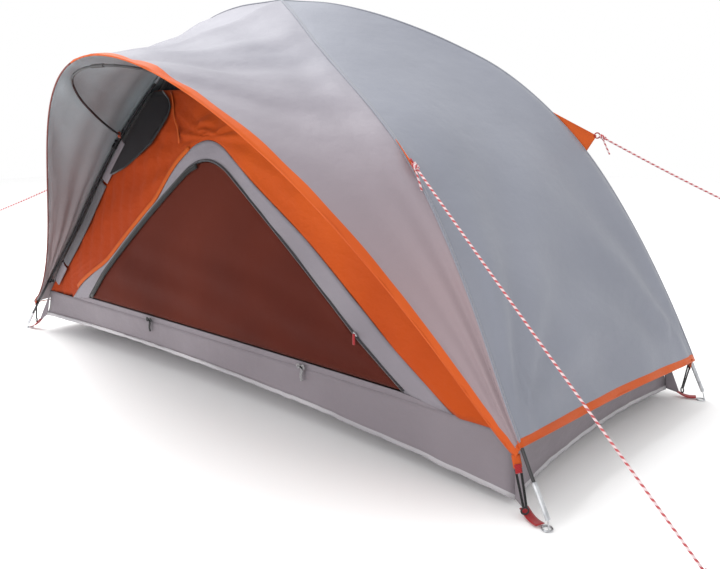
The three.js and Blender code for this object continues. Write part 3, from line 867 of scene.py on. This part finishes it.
# Gussets with their loops, and the tabs that hook the flysheet to the feet.
for corner in CORNERS:
    x, y, _ = HALF_POLES[corner]
    top_place, foot_place, pull, reach = GUSSETS[corner]
    apex = beside(corner, pull, POLE_CLEARANCE + reach)
    cloth = Cloth()
    rows = []
    for k in range(13):
        place = top_place + (foot_place - top_place) * k / 12
        base = beside(corner, place, POLE_CLEARANCE + 0.001)
        row = []
        for j in range(7):
            t = j / 6
            belly = 0.003 * math.sin(math.pi * k / 12) * math.sin(math.pi * t)
            row.append(base.lerp(apex, t * 0.98) + Vector((0, y * belly, 0)))
        rows.append(row)
    cloth.grid(rows)
    cloth.build(f"gusset_{corner}", [M_TRIM], "flysheet", "trim_fabric", [f"guy_gusset_{corner}"], 0.0016)
    out = outward_at(apex)
    tangent = (beside(corner, pull + 0.01, 0) - beside(corner, pull - 0.01, 0)).normalized()
    loop_path = ring_path(apex + out * 0.001, tangent.cross(out), 0.0075, 20)
    tube_mesh(
            f"gusset_loop_{corner}", loop_path, 0.0018, M_RED, "flysheet", sides=8,
            closed=True,
        )

    # orange tab, red tape, two black elastics and a hook on the strap at the tray's corner
    if y < 0:
        start = awning_parts[0 if x < 0 else -1][0][-1]
    else:
        front_end = fly_ridge(CORNERS[0 if x < 0 else 1], FRONT_HEM)
        start = fly_ridge(corner, FRONT_HEM - 0.002).lerp(front_end, 0.025)
    near, far = strap_ends(corner)
    hook = near.lerp(far, 0.50) + Vector((0, y * 0.010, 0.010))
    out = Vector((x, y, 0)).normalized()
    across = (hook - start).cross(out).normalized()
    for tag, first, last, width, material, body_slot, node in (
        ("tab", -0.06, 0.20, 0.018, M_TRIM, "trim_fabric", [f"fly_hook_{corner}"]),
        ("tape", 0.12, 0.30, 0.014, M_RED, "red_webbing", []),
    ):
        raised = out * (0.0022 if tag == "tape" else 0)
        path = [start.lerp(hook, first + (last - first) * k / 7) + raised for k in range(8)]
        ribbon(
                f"fly_{tag}_{corner}", path, [out] * 8, width, material, "flysheet", body_slot, node, 0.0016,
            )
    for sign, tag in ((-1, "a"), (1, "b")):
        top = start.lerp(hook, 0.22) + across * sign * 0.0055
        elastic = between(top, hook + across * sign * 0.003, 9)
        ribbon(
                f"fly_elastic_{corner}_{tag}", elastic, [out] * 9, 0.005, M_BLACK_WEB, "flysheet",
                "black_elastic", thickness=0.002,
            )
    tube_mesh(
            f"fly_hook_ring_{corner}", ring_path(hook + Vector((0, 0, -0.006)), out, 0.0075, 24), 0.0019,
            M_BLACK, "flysheet", closed=True, sides=10,
        )


# ---- inner tent ----
def tray_point(corner_step, t, length, width, z, bow):
    """A point on a rectangle with sides drawn in; corner_step counts the sides from the front one."""
    corners = [(-1, -1), (1, -1), (1, 1), (-1, 1)]
    x, y = corners[corner_step]
    next_x, next_y = corners[(corner_step + 1) % 4]
    pull = 1 - bow * 4 * t * (1 - t)
    along_x = x != next_x
    return Vector((
        length / 2 * (x + (next_x - x) * t) * (1 if along_x else pull),
        width / 2 * (y + (next_y - y) * t) * (pull if along_x else 1),
        z,
    ))


SIDE_STEPS = [72, 30, 72, 30]
GROUND_RISE = 0.0035
EVEN_LEVEL = 0.093  # from here up the tray's wall is level all the way round


def tray_ring(inset, height, bow):
    """A ring round the tray, an inset from the floor's edge; height gives z from x."""
    length, width = FLOOR_LENGTH - 2 * inset, FLOOR_WIDTH - 2 * inset
    ring = []
    for side, steps in enumerate(SIDE_STEPS):
        for step in range(steps):
            point = tray_point(side, step / steps, length, width, 0.0, bow)
            point.z = height(point.x)
            ring.append(point)
    return ring


def under(share):
    """Height of the sloping stretch from the ground (0) to the hem (1)."""
    return lambda x: GROUND_RISE + (hem_height(x) - GROUND_RISE) * share


def above(share):
    """Height of the upright stretch from the hem (0) to EVEN_LEVEL (1)."""
    return lambda x: hem_height(x) + (EVEN_LEVEL - hem_height(x)) * share


GROUND_INSET = 0.160  # how far in from its hem the lifted groundsheet meets the ground
BINDING = 0.011
tub_rows = [tray_ring(GROUND_INSET, lambda x: 0.0015, HEM_BOW)]
tub_rows += [tray_ring((GROUND_INSET - 0.020) * (1 - k / 6), under(k / 6), HEM_BOW) for k in range(7)]
HEM_ROW = len(tub_rows) - 1
tub_rows += [tray_ring(0.0, lambda x: hem_height(x) + BINDING, HEM_BOW)]
tub_rows += [tray_ring(0.0, lambda x: hem_height(x) + BINDING + 0.0012, HEM_BOW)]
for k in range(1, 5):
    share = 0.25 + 0.75 * k / 4
    tub_rows.append(tray_ring(0.006 * share, above(share), HEM_BOW * (1 - 0.2 * share)))
for k in range(1, 6):
    rise = EVEN_LEVEL + (TUB_HEIGHT + 0.002 - EVEN_LEVEL) * k / 5
    tub_rows.append(tray_ring(0.006 + 0.006 * k / 5, lambda x, rise=rise: rise, HEM_BOW * (0.8 - 0.04 * k)))
TUB_LAST = len(tub_rows) - 1


def tub_lift(i, j):
    point = tub_rows[i][j]
    rise = smooth(HEM_ROW - 2, HEM_ROW + 3, i) * smooth(0, 2, TUB_LAST - i)
    amount = 0.006 * wander(point, 5.5, 8) + 0.0035 * wander(point, 17, 9)
    flat = Vector((point.x, point.y, 0))
    low = 0.0030 * wander(flat, 24, 10) * smooth(HEM_ROW - 3, HEM_ROW, i) * smooth(0, 4, HEM_ROW + 5 - i)
    binding = 0.0012 if i in (HEM_ROW, HEM_ROW + 1) else 0.0
    return amount * rise + low - 0.002 * rise + binding


tub = Cloth()
tub.grid(tub_rows, tub_lift, lambda i, j: 1 if i == HEM_ROW else 0, wrap=True)
tub_sheet = tub.build("bathtub_cloth", [M_GREY, M_BINDING], "inner_tent", "grey_fabric", ["bathtub_wall"])

floor = Cloth()
floor_rows = []
FLAT_LENGTH = FLOOR_LENGTH - 2 * GROUND_INSET - 0.001
FLAT_WIDTH = FLOOR_WIDTH - 2 * GROUND_INSET - 0.001
for i in range(31):
    v = i / 30
    front = [tray_point(0, j / 60, FLAT_LENGTH, FLAT_WIDTH, 0.0016, HEM_BOW) for j in range(61)]
    back = [Vector((p.x, -p.y, p.z)) for p in front]
    row = []
    for a, b in zip(front, back):
        point = a.lerp(b, v)
        point.x *= 1 - HEM_BOW * 4 * v * (1 - v)
        row.append(point)
    floor_rows.append(row)


def floor_lift(i, j):
    inside = smooth(0, 3, i) * smooth(0, 3, 30 - i) * smooth(0, 3, j) * smooth(0, 3, 60 - j)
    return 0.004 * inside * max(wander(floor_rows[i][j], 6, 11) + 0.1, 0)


floor.grid(floor_rows, floor_lift)
floor_sheet = floor.build("floor_cloth", [M_FLOOR], "inner_tent", "grey_fabric", ["groundsheet_floor"])


@functools.lru_cache(maxsize=None)
def wall_ends(left, right, z):
    a = beside(left, pole_at_height(left, z), WALL_INSET)
    b = beside(right, pole_at_height(right, z), WALL_INSET)
    inward = (Vector((0, 0, z)) - (a + b) / 2).normalized()
    return a, b, inward


FIRST_LEVEL = 0.276
TUB_TOP = TUB_HEIGHT + 0.003


def tub_top(left, right, t):
    (ax, ay, _), (bx, by, _) = HALF_POLES[left], HALF_POLES[right]
    x, y = FLOOR_LENGTH / 2 - TUB_IN - 0.0015, FLOOR_WIDTH / 2 - TUB_IN - 0.0015
    pull = 1 - HEM_BOW * 0.6 * 4 * t * (1 - t)
    across = ax != bx
    return Vector((
        x * (ax + (bx - ax) * t) * (1 if across else pull),
        y * (ay + (by - ay) * t) * (pull if across else 1),
        TUB_TOP - 0.004,
    ))


def wall_point(left, right, t, z):
    """A point on an inner wall between two poles: t runs across, z is the height."""
    a, b, inward = wall_ends(left, right, round(max(z, FIRST_LEVEL), 4))
    point = a.lerp(b, t) + inward * WALL_SAG * math.sin(math.pi * min(max(t, 0), 1))
    if z < FIRST_LEVEL:
        low = tub_top(left, right, t)
        point = point.lerp(low, (FIRST_LEVEL - z) / (FIRST_LEVEL - low.z))
    return point


def wall_grid(left, right, columns, levels, top=WALL_TOP):
    bottom = TUB_TOP - 0.004
    heights = [bottom + (top - bottom) * i / levels for i in range(levels + 1)]
    return [[wall_point(left, right, j / columns, z) for j in range(columns + 1)] for z in heights]


def slack(rows, seed, size):
    """Folds of a loosely hung wall, still along its four edges."""
    height, width = len(rows) - 1, len(rows[0]) - 1

    def lift(i, j):
        point = rows[i][j]
        edge = smooth(0, 0.1, min(j, width - j) / width) * smooth(0, 0.08, min(i, height - i) / height)
        return size * edge * (wander(point, 3.2, seed) + 0.4 * wander(point, 9, seed + 1)) - size * 0.5 * edge

    return lift


walls = Cloth()
for left, right, columns, seed in (
    ("back_right", "back_left", 60, 20),
    ("back_left", "front_left", 26, 22),
    ("front_right", "back_right", 26, 24),
):
    rows = wall_grid(left, right, columns, 26)
    walls.grid(rows, slack(rows, seed, 0.007))
wall_sheet = walls.build(
    "inner_walls_cloth", [M_ORANGE], "inner_tent", "orange_fabric",
    ["inner_wall_back", "inner_wall_head", "inner_wall_foot"],
)

# The front wall round the door. Its outline is the door's, grown by a margin.
EDGE_RUN = DOOR_BASE / DOOR_HEIGHT


def door_edge(side, z, widen):
    climb = z - DOOR_FOOT
    bulge = EDGE_BULGE * math.sin(math.pi * climb / DOOR_HEIGHT)
    half = DOOR_BASE + widen - climb * EDGE_RUN + max(bulge, 0)
    return Vector((side * half - DOOR_LEAN * climb, z))


def door_levels(grow, foot, edge_steps, top_steps):
    """The outline from the foot up: pairs of (left point, right point), as (x, z), narrowing to the top."""
    widen = grow * math.hypot(1, EDGE_RUN)
    peak = DOOR_FOOT + (DOOR_BASE + widen) / EDGE_RUN
    shoulder = peak - ROUNDING
    pairs = []
    for k in range(edge_steps + 1):
        z = foot + (shoulder - foot) * k / edge_steps
        pairs.append((door_edge(-1, z, widen), door_edge(1, z, widen)))
    left, right = pairs[-1]
    tip = Vector((-DOOR_LEAN * (peak - DOOR_FOOT), peak))
    for k in range(1, top_steps + 1):
        w = k / top_steps / 2
        a = left * (1 - w) ** 2 + tip * 2 * w * (1 - w) + right * w * w
        b = right * (1 - w) ** 2 + tip * 2 * w * (1 - w) + left * w * w
        pairs.append((a, b))
    return pairs


def front_point(spot, out=0.0):
    """The point of the front wall at (x, z), moved out of the tent by a distance."""
    x, z = spot
    a, b, _ = wall_ends("front_left", "front_right", round(max(z, FIRST_LEVEL), 4))
    t = (x - a.x) / (b.x - a.x)
    if z < FIRST_LEVEL:
        low = tub_top("front_left", "front_right", 0.5).z
        share = (FIRST_LEVEL - z) / (FIRST_LEVEL - low)
        left = a.lerp(tub_top("front_left", "front_right", 0.0), share).x
        right = b.lerp(tub_top("front_left", "front_right", 1.0), share).x
        t = (x - left) / (right - left)
    point = wall_point("front_left", "front_right", min(max(t, 0), 1), z)
    return Vector((x, point.y - out, z))


EDGE_STEPS, TOP_STEPS = 34, 10


def outline(grow, foot, edge_steps=EDGE_STEPS, top_steps=TOP_STEPS):
    """The same outline as one run: up the left edge, over the top and down the right edge."""
    pairs = door_levels(grow, foot, edge_steps, top_steps)
    return [a for a, _ in pairs] + [b for _, b in reversed(pairs[:-1])]


BAND_FOOT = TUB_TOP - 0.003


def border_share(side, z):
    """The border's width over its plain width: it pinches in up the left edge and flares at its foot."""
    if side < 0:
        return 1.0 - 0.72 * smooth(0.68, 0.57, z) + 0.95 * smooth(0.36, 0.19, z)
    return 1.0 + 0.38 * smooth(0.66, 0.45, z)


def border_outline(less=0.0):
    inner, outer = outline(0.0, BAND_FOOT), outline(BORDER_WIDTH, BAND_FOOT)
    spots = []
    for k, (a, b) in enumerate(zip(inner, outer)):
        side = -1 if k < len(inner) / 2 else 1
        spots.append(a.lerp(b, border_share(side, b.y) - less))
    return spots


wall_inner = border_outline()
wall_outer = []
steps = len(wall_inner) - 1
for k in range(steps + 1):
    end = 0.0 if k <= steps / 2 else 1.0
    rise = min(k, steps - k) / EDGE_STEPS
    if rise <= 1:
        z = BAND_FOOT + (WALL_TOP - BAND_FOOT) * rise
        point = wall_point("front_left", "front_right", end, z)
        wall_outer.append(Vector((point.x, z)))
    else:
        a = wall_point("front_left", "front_right", 0.0, WALL_TOP).x
        b = wall_point("front_left", "front_right", 1.0, WALL_TOP).x
        t = (k - EDGE_STEPS) / (steps - 2 * EDGE_STEPS)
        wall_outer.append(Vector((a + (b - a) * t, WALL_TOP)))

ACROSS = 40
front_rows = []
for i in range(ACROSS + 1):
    front_rows.append([front_point(a.lerp(b, i / ACROSS)) for a, b in zip(wall_inner, wall_outer)])


def front_lift(i, j):
    point = front_rows[i][j]
    edge = smooth(0, 0.15, min(i, ACROSS - i) / ACROSS)
    # gathers above the door's top, running up to the poles
    apex = point - Vector((-0.1, 0, 0.74))
    fan = 0.009 * math.sin(math.atan2(apex.z, apex.x) * 19 + 2 * wander(point, 3, 31))
    fan *= math.exp(-apex.length / 0.5)
    # upright pleats beside the door's left edge
    pleat = 0.0026 * math.sin(point.x * 95 + 5 * wander(point, 2, 33))
    pleat += 0.0011 * math.sin(point.x * 205 + 4 * wander(point, 3, 34))
    pleat *= smooth(-0.22, -0.36, point.x)
    return edge * (0.008 * wander(point, 3.4, 30) + fan + pleat + 0.0025 * wander(point, 12, 32))


front = Cloth()
front.grid(front_rows, front_lift)
front_area = front.area()
front_sheet = front.build("front_wall_cloth", [M_ORANGE], "inner_tent", "orange_fabric", ["inner_wall_front"])

border_outer = border_outline(0.01)
border_inner = outline(0.001, DOOR_FOOT - 0.002)
border_rows = [
    [front_point(a.lerp(b, i / 6), 0.0012) for a, b in zip(border_inner, border_outer)] for i in range(7)
]
# the strip under the door joins the two lower ends
foot_columns = 60
foot_rows = []
for i in range(5):
    z = BAND_FOOT + (DOOR_FOOT - 0.002 - BAND_FOOT) * i / 4
    a = border_outer[0].lerp(border_inner[0], i / 4)
    b = border_outer[-1].lerp(border_inner[-1], i / 4)
    across = [a.x + (b.x - a.x) * j / foot_columns for j in range(foot_columns + 1)]
    foot_rows.append([front_point(Vector((x, z)), 0.0012) for x in across])


def border_lift(i, j):
    point = border_rows[i][j]
    return 0.0018 * wander(point, 14, 34) + 0.003 * wander(point, 5, 35) * (1 if 0 < i < 6 else 0.3)


border = Cloth()
border.grid(border_rows, border_lift)
border.grid(foot_rows, kind=lambda i, j: 1, flip=True)
border_sheet = border.build(
    "door_border_cloth", [M_BORDER_PAINTED_LIGHT, M_GREY], "inner_tent", "grey_fabric", ["door_border"],
)

door_rows = []
for a, b in door_levels(-0.0015, DOOR_FOOT + 0.002, 40, 10):
    door_rows.append([front_point(a.lerp(b, j / 70)) for j in range(71)])


def door_lift(i, j):
    point = door_rows[i][j]
    edge = smooth(0, 0.06, min(j, 70 - j) / 70) * smooth(0, 3, i)
    # shallow folds that run across and sink towards the right
    across = 0.0028 * math.sin(point.z * 62 + point.x * 9 + 3 * wander(point, 2.0, 38))
    across *= smooth(0.50, 0.30, point.z)
    return edge * (0.005 * wander(point, 3.0, 36) + 0.002 * wander(point, 8, 37) + across)


door = Cloth()
door.grid(door_rows, door_lift)
door_sheet = door.build("door_mesh_cloth", [M_BROWN], "door", "brown_mesh", ["door_panel"])

# Zip: tape and coil along the door's edge.
zip_line = [front_point(p, 0.0030) for p in outline(0.004, DOOR_FOOT + 0.002)]
zip_tape = ribbon(
    "door_zip_tape", zip_line, [TO_DOOR] * len(zip_line), 0.008, M_DARK_TAPE, "inner_tent", "grey_fabric",
)
coil_line = [front_point(p, 0.0048) for p in outline(0.004, DOOR_FOOT + 0.002)]
# A black flap covers the zip up the door's left edge.
flap_line = [front_point(p, 0.0068) for p in outline(-0.006, DOOR_FOOT + 0.006)[: EDGE_STEPS + 7]]
zip_flap = ribbon(
    "door_zip_flap", flap_line, [TO_DOOR] * len(flap_line), 0.014, M_BLACK_WEB, "door", "black_elastic",
)
zip_coil = tube_mesh("door_zip_coil", coil_line, 0.0018, M_DARK_TAPE, "inner_tent", sides=6)

# A lighter facing along the border's left edge, and the seam from the door's top up to the roof.
facing_line = [front_point(p + Vector((-0.009, 0.0)), 0.0040) for p in wall_inner[3 : EDGE_STEPS + 3]]
ribbon(
    "door_facing", facing_line, [TO_DOOR] * len(facing_line), 0.014, M_FACING, "inner_tent", "orange_fabric",
)
seam_line = []
for k in range(11):
    spot = Vector((-0.333, 0.880)).lerp(Vector((-0.236, 0.728)), k / 10)
    seam_line.append(front_point(spot + Vector((0, 0.006 * math.sin(k))), 0.0045))
ribbon("front_seam", seam_line, [TO_DOOR] * 11, 0.007, M_FACING, "inner_tent", "orange_fabric")

# Mesh windows in the front wall's two upper corners, bound in black.
WINDOW_EDGE = [  # the left window's free edge as (x, z), from the pole up to the wall's top
    (-0.590, 0.615), (-0.520, 0.640), (-0.455, 0.676), (-0.384, 0.721), (-0.343, 0.769),
    (-0.317, 0.806), (-0.312, 0.833), (-0.330, 0.858), (-0.372, 0.884),
]
for side, name in ((-1, "left"), (1, "right")):
    corner_t = 0.0 if side < 0 else 1.0
    rows = []
    for x, z in WINDOW_EDGE:
        pole = wall_point("front_left", "front_right", corner_t, z)
        inner = Vector((x * -side, z))
        outer = Vector((pole.x - side * 0.004, z))
        rows.append([front_point(outer.lerp(inner, j / 8), 0.0075) for j in range(9)])
    net = Cloth()
    net.grid(rows, flip=side > 0)
    net.build(f"window_mesh_{name}", [M_NET], "inner_tent", "black_mesh")
    rim = [row[-1] + Vector((0, -0.001, 0)) for row in rows]
    ribbon(
        f"window_binding_{name}", rim, [TO_DOOR] * len(rim), 0.005, M_BLACK_WEB, "inner_tent", "black_mesh",
    )

# Mesh roof: rings that climb from the walls' top to the poles' crossing.
roof = Cloth()
roof_rows = []
ROOF_LEVELS = [WALL_TOP, 0.905, 0.93, 0.955, 0.98, 1.005, 1.03, 1.05, 1.068, 1.082]
for z in ROOF_LEVELS:
    ring = []
    for k, corner in enumerate(CORNERS):
        following = CORNERS[(k + 1) % 4]
        for j in range(24):
            ring.append(wall_point(corner, following, j / 24, z))
    roof_rows.append(ring)
for share in (0.35, 0.7, 1.0):
    tip = Vector((0, CROSSING_Y, 1.096))
    roof_rows.append([p.lerp(tip, share) for p in roof_rows[len(ROOF_LEVELS) - 1]])
roof.grid(roof_rows, lambda i, j: -0.004 * math.sin(math.pi * (j % 24) / 24) if 0 < i < 9 else 0.0, wrap=True)
roof_sheet = roof.build("mesh_roof_cloth", [M_NET], "inner_tent", "black_mesh", ["mesh_roof"])

# Sleeves round the front poles' lower stretches and clips that hang the inner tent from the poles.
for side, corner in ((-1, "front_left"), (1, "front_right")):
    for tag, first, last, material in (
        ("upper", 0.515, 0.60, M_GREY), ("middle", 0.605, 0.80, M_SLEEVE), ("lower", 0.805, 0.86, M_GREY),
    ):
        path = []
        for k in range(25):
            z = pole_point(corner, first + (last - first) * k / 24).z
            edge = wall_point("front_left", "front_right", 0.0 if side < 0 else 1.0, z)
            path.append(front_point(Vector((edge.x - side * 0.023, z)), 0.0095))
        ribbon(
            f"pole_sleeve_{corner}_{tag}", path, [TO_DOOR] * 25, 0.036, material, "inner_tent",
            "grey_fabric", crown=0.003,
        )
for corner in CORNERS:
    for k, place in enumerate((0.34, 0.52, 0.86)):
        centre = pole_point(corner, place)
        inner = beside(corner, place, WALL_INSET)
        along = (pole_point(corner, place + 0.01) - pole_point(corner, place - 0.01)).normalized()
        tube_mesh(
            f"pole_clip_{corner}_{k + 1}", ring_path(centre, along, 0.0066, 16), 0.0018, M_BLACK,
            "inner_tent", sides=8, closed=True,
        )
        out = outward_at(centre)
        side = along.cross(out).normalized()
        strap_path = between(inner, centre - out * 0.007, 5)
        ribbon(
            f"clip_strap_{corner}_{k + 1}", strap_path, [side] * 5, 0.015, M_BLACK_WEB,
            "inner_tent", "black_elastic",
        )

# Brow hoop's seats on the front poles.
for side in ("left", "right"):
    low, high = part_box(f"hoop_seat_{side}")
    corner = f"front_{side}"
    seat = pole_point(corner, 0.5)
    middle = (low + high) / 2
    run = (middle - seat).normalized()
    face = run.cross(UP).normalized()
    path = [seat + run * (0.006 + 0.0030 * k) for k in range(7)]
    ribbon(
        f"hoop_tab_{side}", path, [face] * 7, 0.018, M_ORANGE_WEB, "inner_tent", "orange_fabric",
        [f"hoop_seat_{side}"], thickness=0.006, crown=0.001,
    )

# Corner straps: from the tub's corner through the steel ring and back.
for corner in CORNERS:
    x, y, _ = HALF_POLES[corner]
    end = x * FLOOR_LENGTH / 2
    near, far = strap_ends(corner)
    wing = Cloth()
    top = Vector((x * (FLOOR_LENGTH / 2 - TUB_IN), y * (FLOOR_WIDTH / 2 - TUB_IN), TUB_HEIGHT - 0.006))
    low = Vector((x * FLOOR_LENGTH / 2, y * FLOOR_WIDTH / 2, hem_height(end) + 0.003))
    tip = near.lerp(far, 0.42) + UP * 0.004
    edge = [(top.lerp(low, j / 8), tip.lerp(tip - UP * 0.008, j / 8)) for j in range(9)]
    wing.grid([[inner.lerp(outer, (k / 10) ** 0.8) for inner, outer in edge] for k in range(11)])
    wing.build(f"tray_wing_{corner}", [M_GREY], "inner_tent", "grey_fabric")
    near = near.lerp(far, 0.36)
    run = far - near
    path = []
    for k in range(13):
        t = k / 12
        path.append(near + run * t + UP * -0.006 * math.sin(math.pi * t))
    across = UP.cross(run).normalized()
    normal = run.cross(across).normalized()
    normal = normal if normal.z > 0 else -normal
    ribbon(
            f"corner_strap_{corner}", path, [normal] * 13, 0.022, M_RED, "inner_tent", "red_webbing",
            [f"corner_webbing_{corner}"], thickness=0.0018,
        )

# Zip slider and its pull.
low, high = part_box("zip_slider")
centre = (low + high) / 2
edge_above, edge_below = (front_point(door_edge(1, centre.z + step, 0.018)) for step in (0.03, -0.03))
edge_run = (edge_above - edge_below).normalized()
body_path = [centre + edge_run * s for s in (-0.008, -0.006, 0.0, 0.006, 0.008)]
tube_mesh(
    "zip_slider_body", body_path, [0.0012, 0.0027, 0.0030, 0.0027, 0.0012], M_STEEL,
    "zip_runner", ["zip_slider"], sides=12,
)
low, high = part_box("zip_pull")
middle = (low + high) / 2
heights = [high.z - 0.001 - (high.z - low.z - 0.002) * k / 8 for k in range(9)]
ribbon(
    "zip_pull_tape", [Vector((middle.x, middle.y, z)) for z in heights], [TO_DOOR] * 9, 0.007, M_RED,
    "zip_tab", "red_webbing", ["zip_pull"], thickness=0.0018,
)

# Ties at the door's foot.
for side, material in (("left", M_BLACK_WEB), ("right", M_GREY_WEB)):
    low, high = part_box(f"door_tie_{side}")
    middle = (low + high) / 2
    top = Vector((middle.x, middle.y, high.z - 0.006))
    for sign, tag in ((-1, "a"), (1, "b")):
        bow = []
        for k in range(9):
            out, up = 0.013 * math.sin(math.pi * k / 8), 0.005 * math.sin(2 * math.pi * k / 8)
            bow.append(top + Vector((sign * out, 0, up)))
        ribbon(
            f"door_tie_{side}_bow_{tag}", bow, [TO_DOOR] * 9, 0.005, material, "inner_tent", "black_elastic",
            thickness=0.0016,
        )
    fall = [top + Vector((0.003 + 0.002 * math.sin(k), 0, -0.0055 * k)) for k in range(8)]
    ribbon(
        f"door_tie_{side}_tail", fall, [TO_DOOR] * 8, 0.009, material, "inner_tent", "black_elastic",
        [f"door_tie_{side}"], thickness=0.0016,
    )


# ---- frame parts that stay as they are, with their own finish ----
STEEL_ENDINGS = ("ferrule", "ferrule_1", "ferrule_2")
for name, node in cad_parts.items():
    if name == "brow_hoop_ferrule":
        finish = M_ROD
    elif name.startswith(("foot_ferrule", "ring_pin")) or name.endswith(STEEL_ENDINGS):
        finish = M_STEEL
    elif "rod" in name:
        finish = M_ROD
    else:
        continue
    for place in node.material_slots:
        place.material = finish

# ---- floor, light ----
floor_mesh = bpy.data.meshes.new("studio_floor")
SIZE = 9.0
floor_mesh.from_pydata(
    [(-SIZE, -SIZE, 0), (SIZE, -SIZE, 0), (SIZE, SIZE, 0), (-SIZE, SIZE, 0)], [], [(0, 1, 2, 3)],
)
studio = bpy.data.objects.new("studio_floor", floor_mesh)
studio.location.z = -0.0008
bpy.context.scene.collection.objects.link(studio)
paper = Shader("studio_paper", 0.9, specular=0.1)
paper.colour(paper.blend(paper.noise(0.6, 1), (0.95, 0.95, 0.95, 1), (0.97, 0.97, 0.97, 1)))
floor_mesh.materials.append(paper.material)

world = bpy.data.worlds.new("studio")
world.use_nodes = True
world.node_tree.nodes["Background"].inputs["Color"].default_value = (1.0, 1.0, 1.0, 1)
world.node_tree.nodes["Background"].inputs["Strength"].default_value = 1.0
bpy.context.scene.world = world
bpy.context.scene.view_settings.view_transform = "Standard"


def area_light(name, place, target, size, power, colour=(1, 1, 1)):
    data = bpy.data.lights.new(name, "AREA")
    data.size = size
    data.energy = power
    data.color = colour
    light = bpy.data.objects.new(name, data)
    light.location = place
    light.rotation_euler = (Vector(target) - Vector(place)).to_track_quat("-Z", "Y").to_euler()
    bpy.context.scene.collection.objects.link(light)


area_light("key", (-2.0, -0.3, 4.5), (0, 0, 0.5), 3.0, 215)
area_light("fill", (0.6, -4.0, 1.3), (-0.2, 0, 0.5), 2.4, 34)
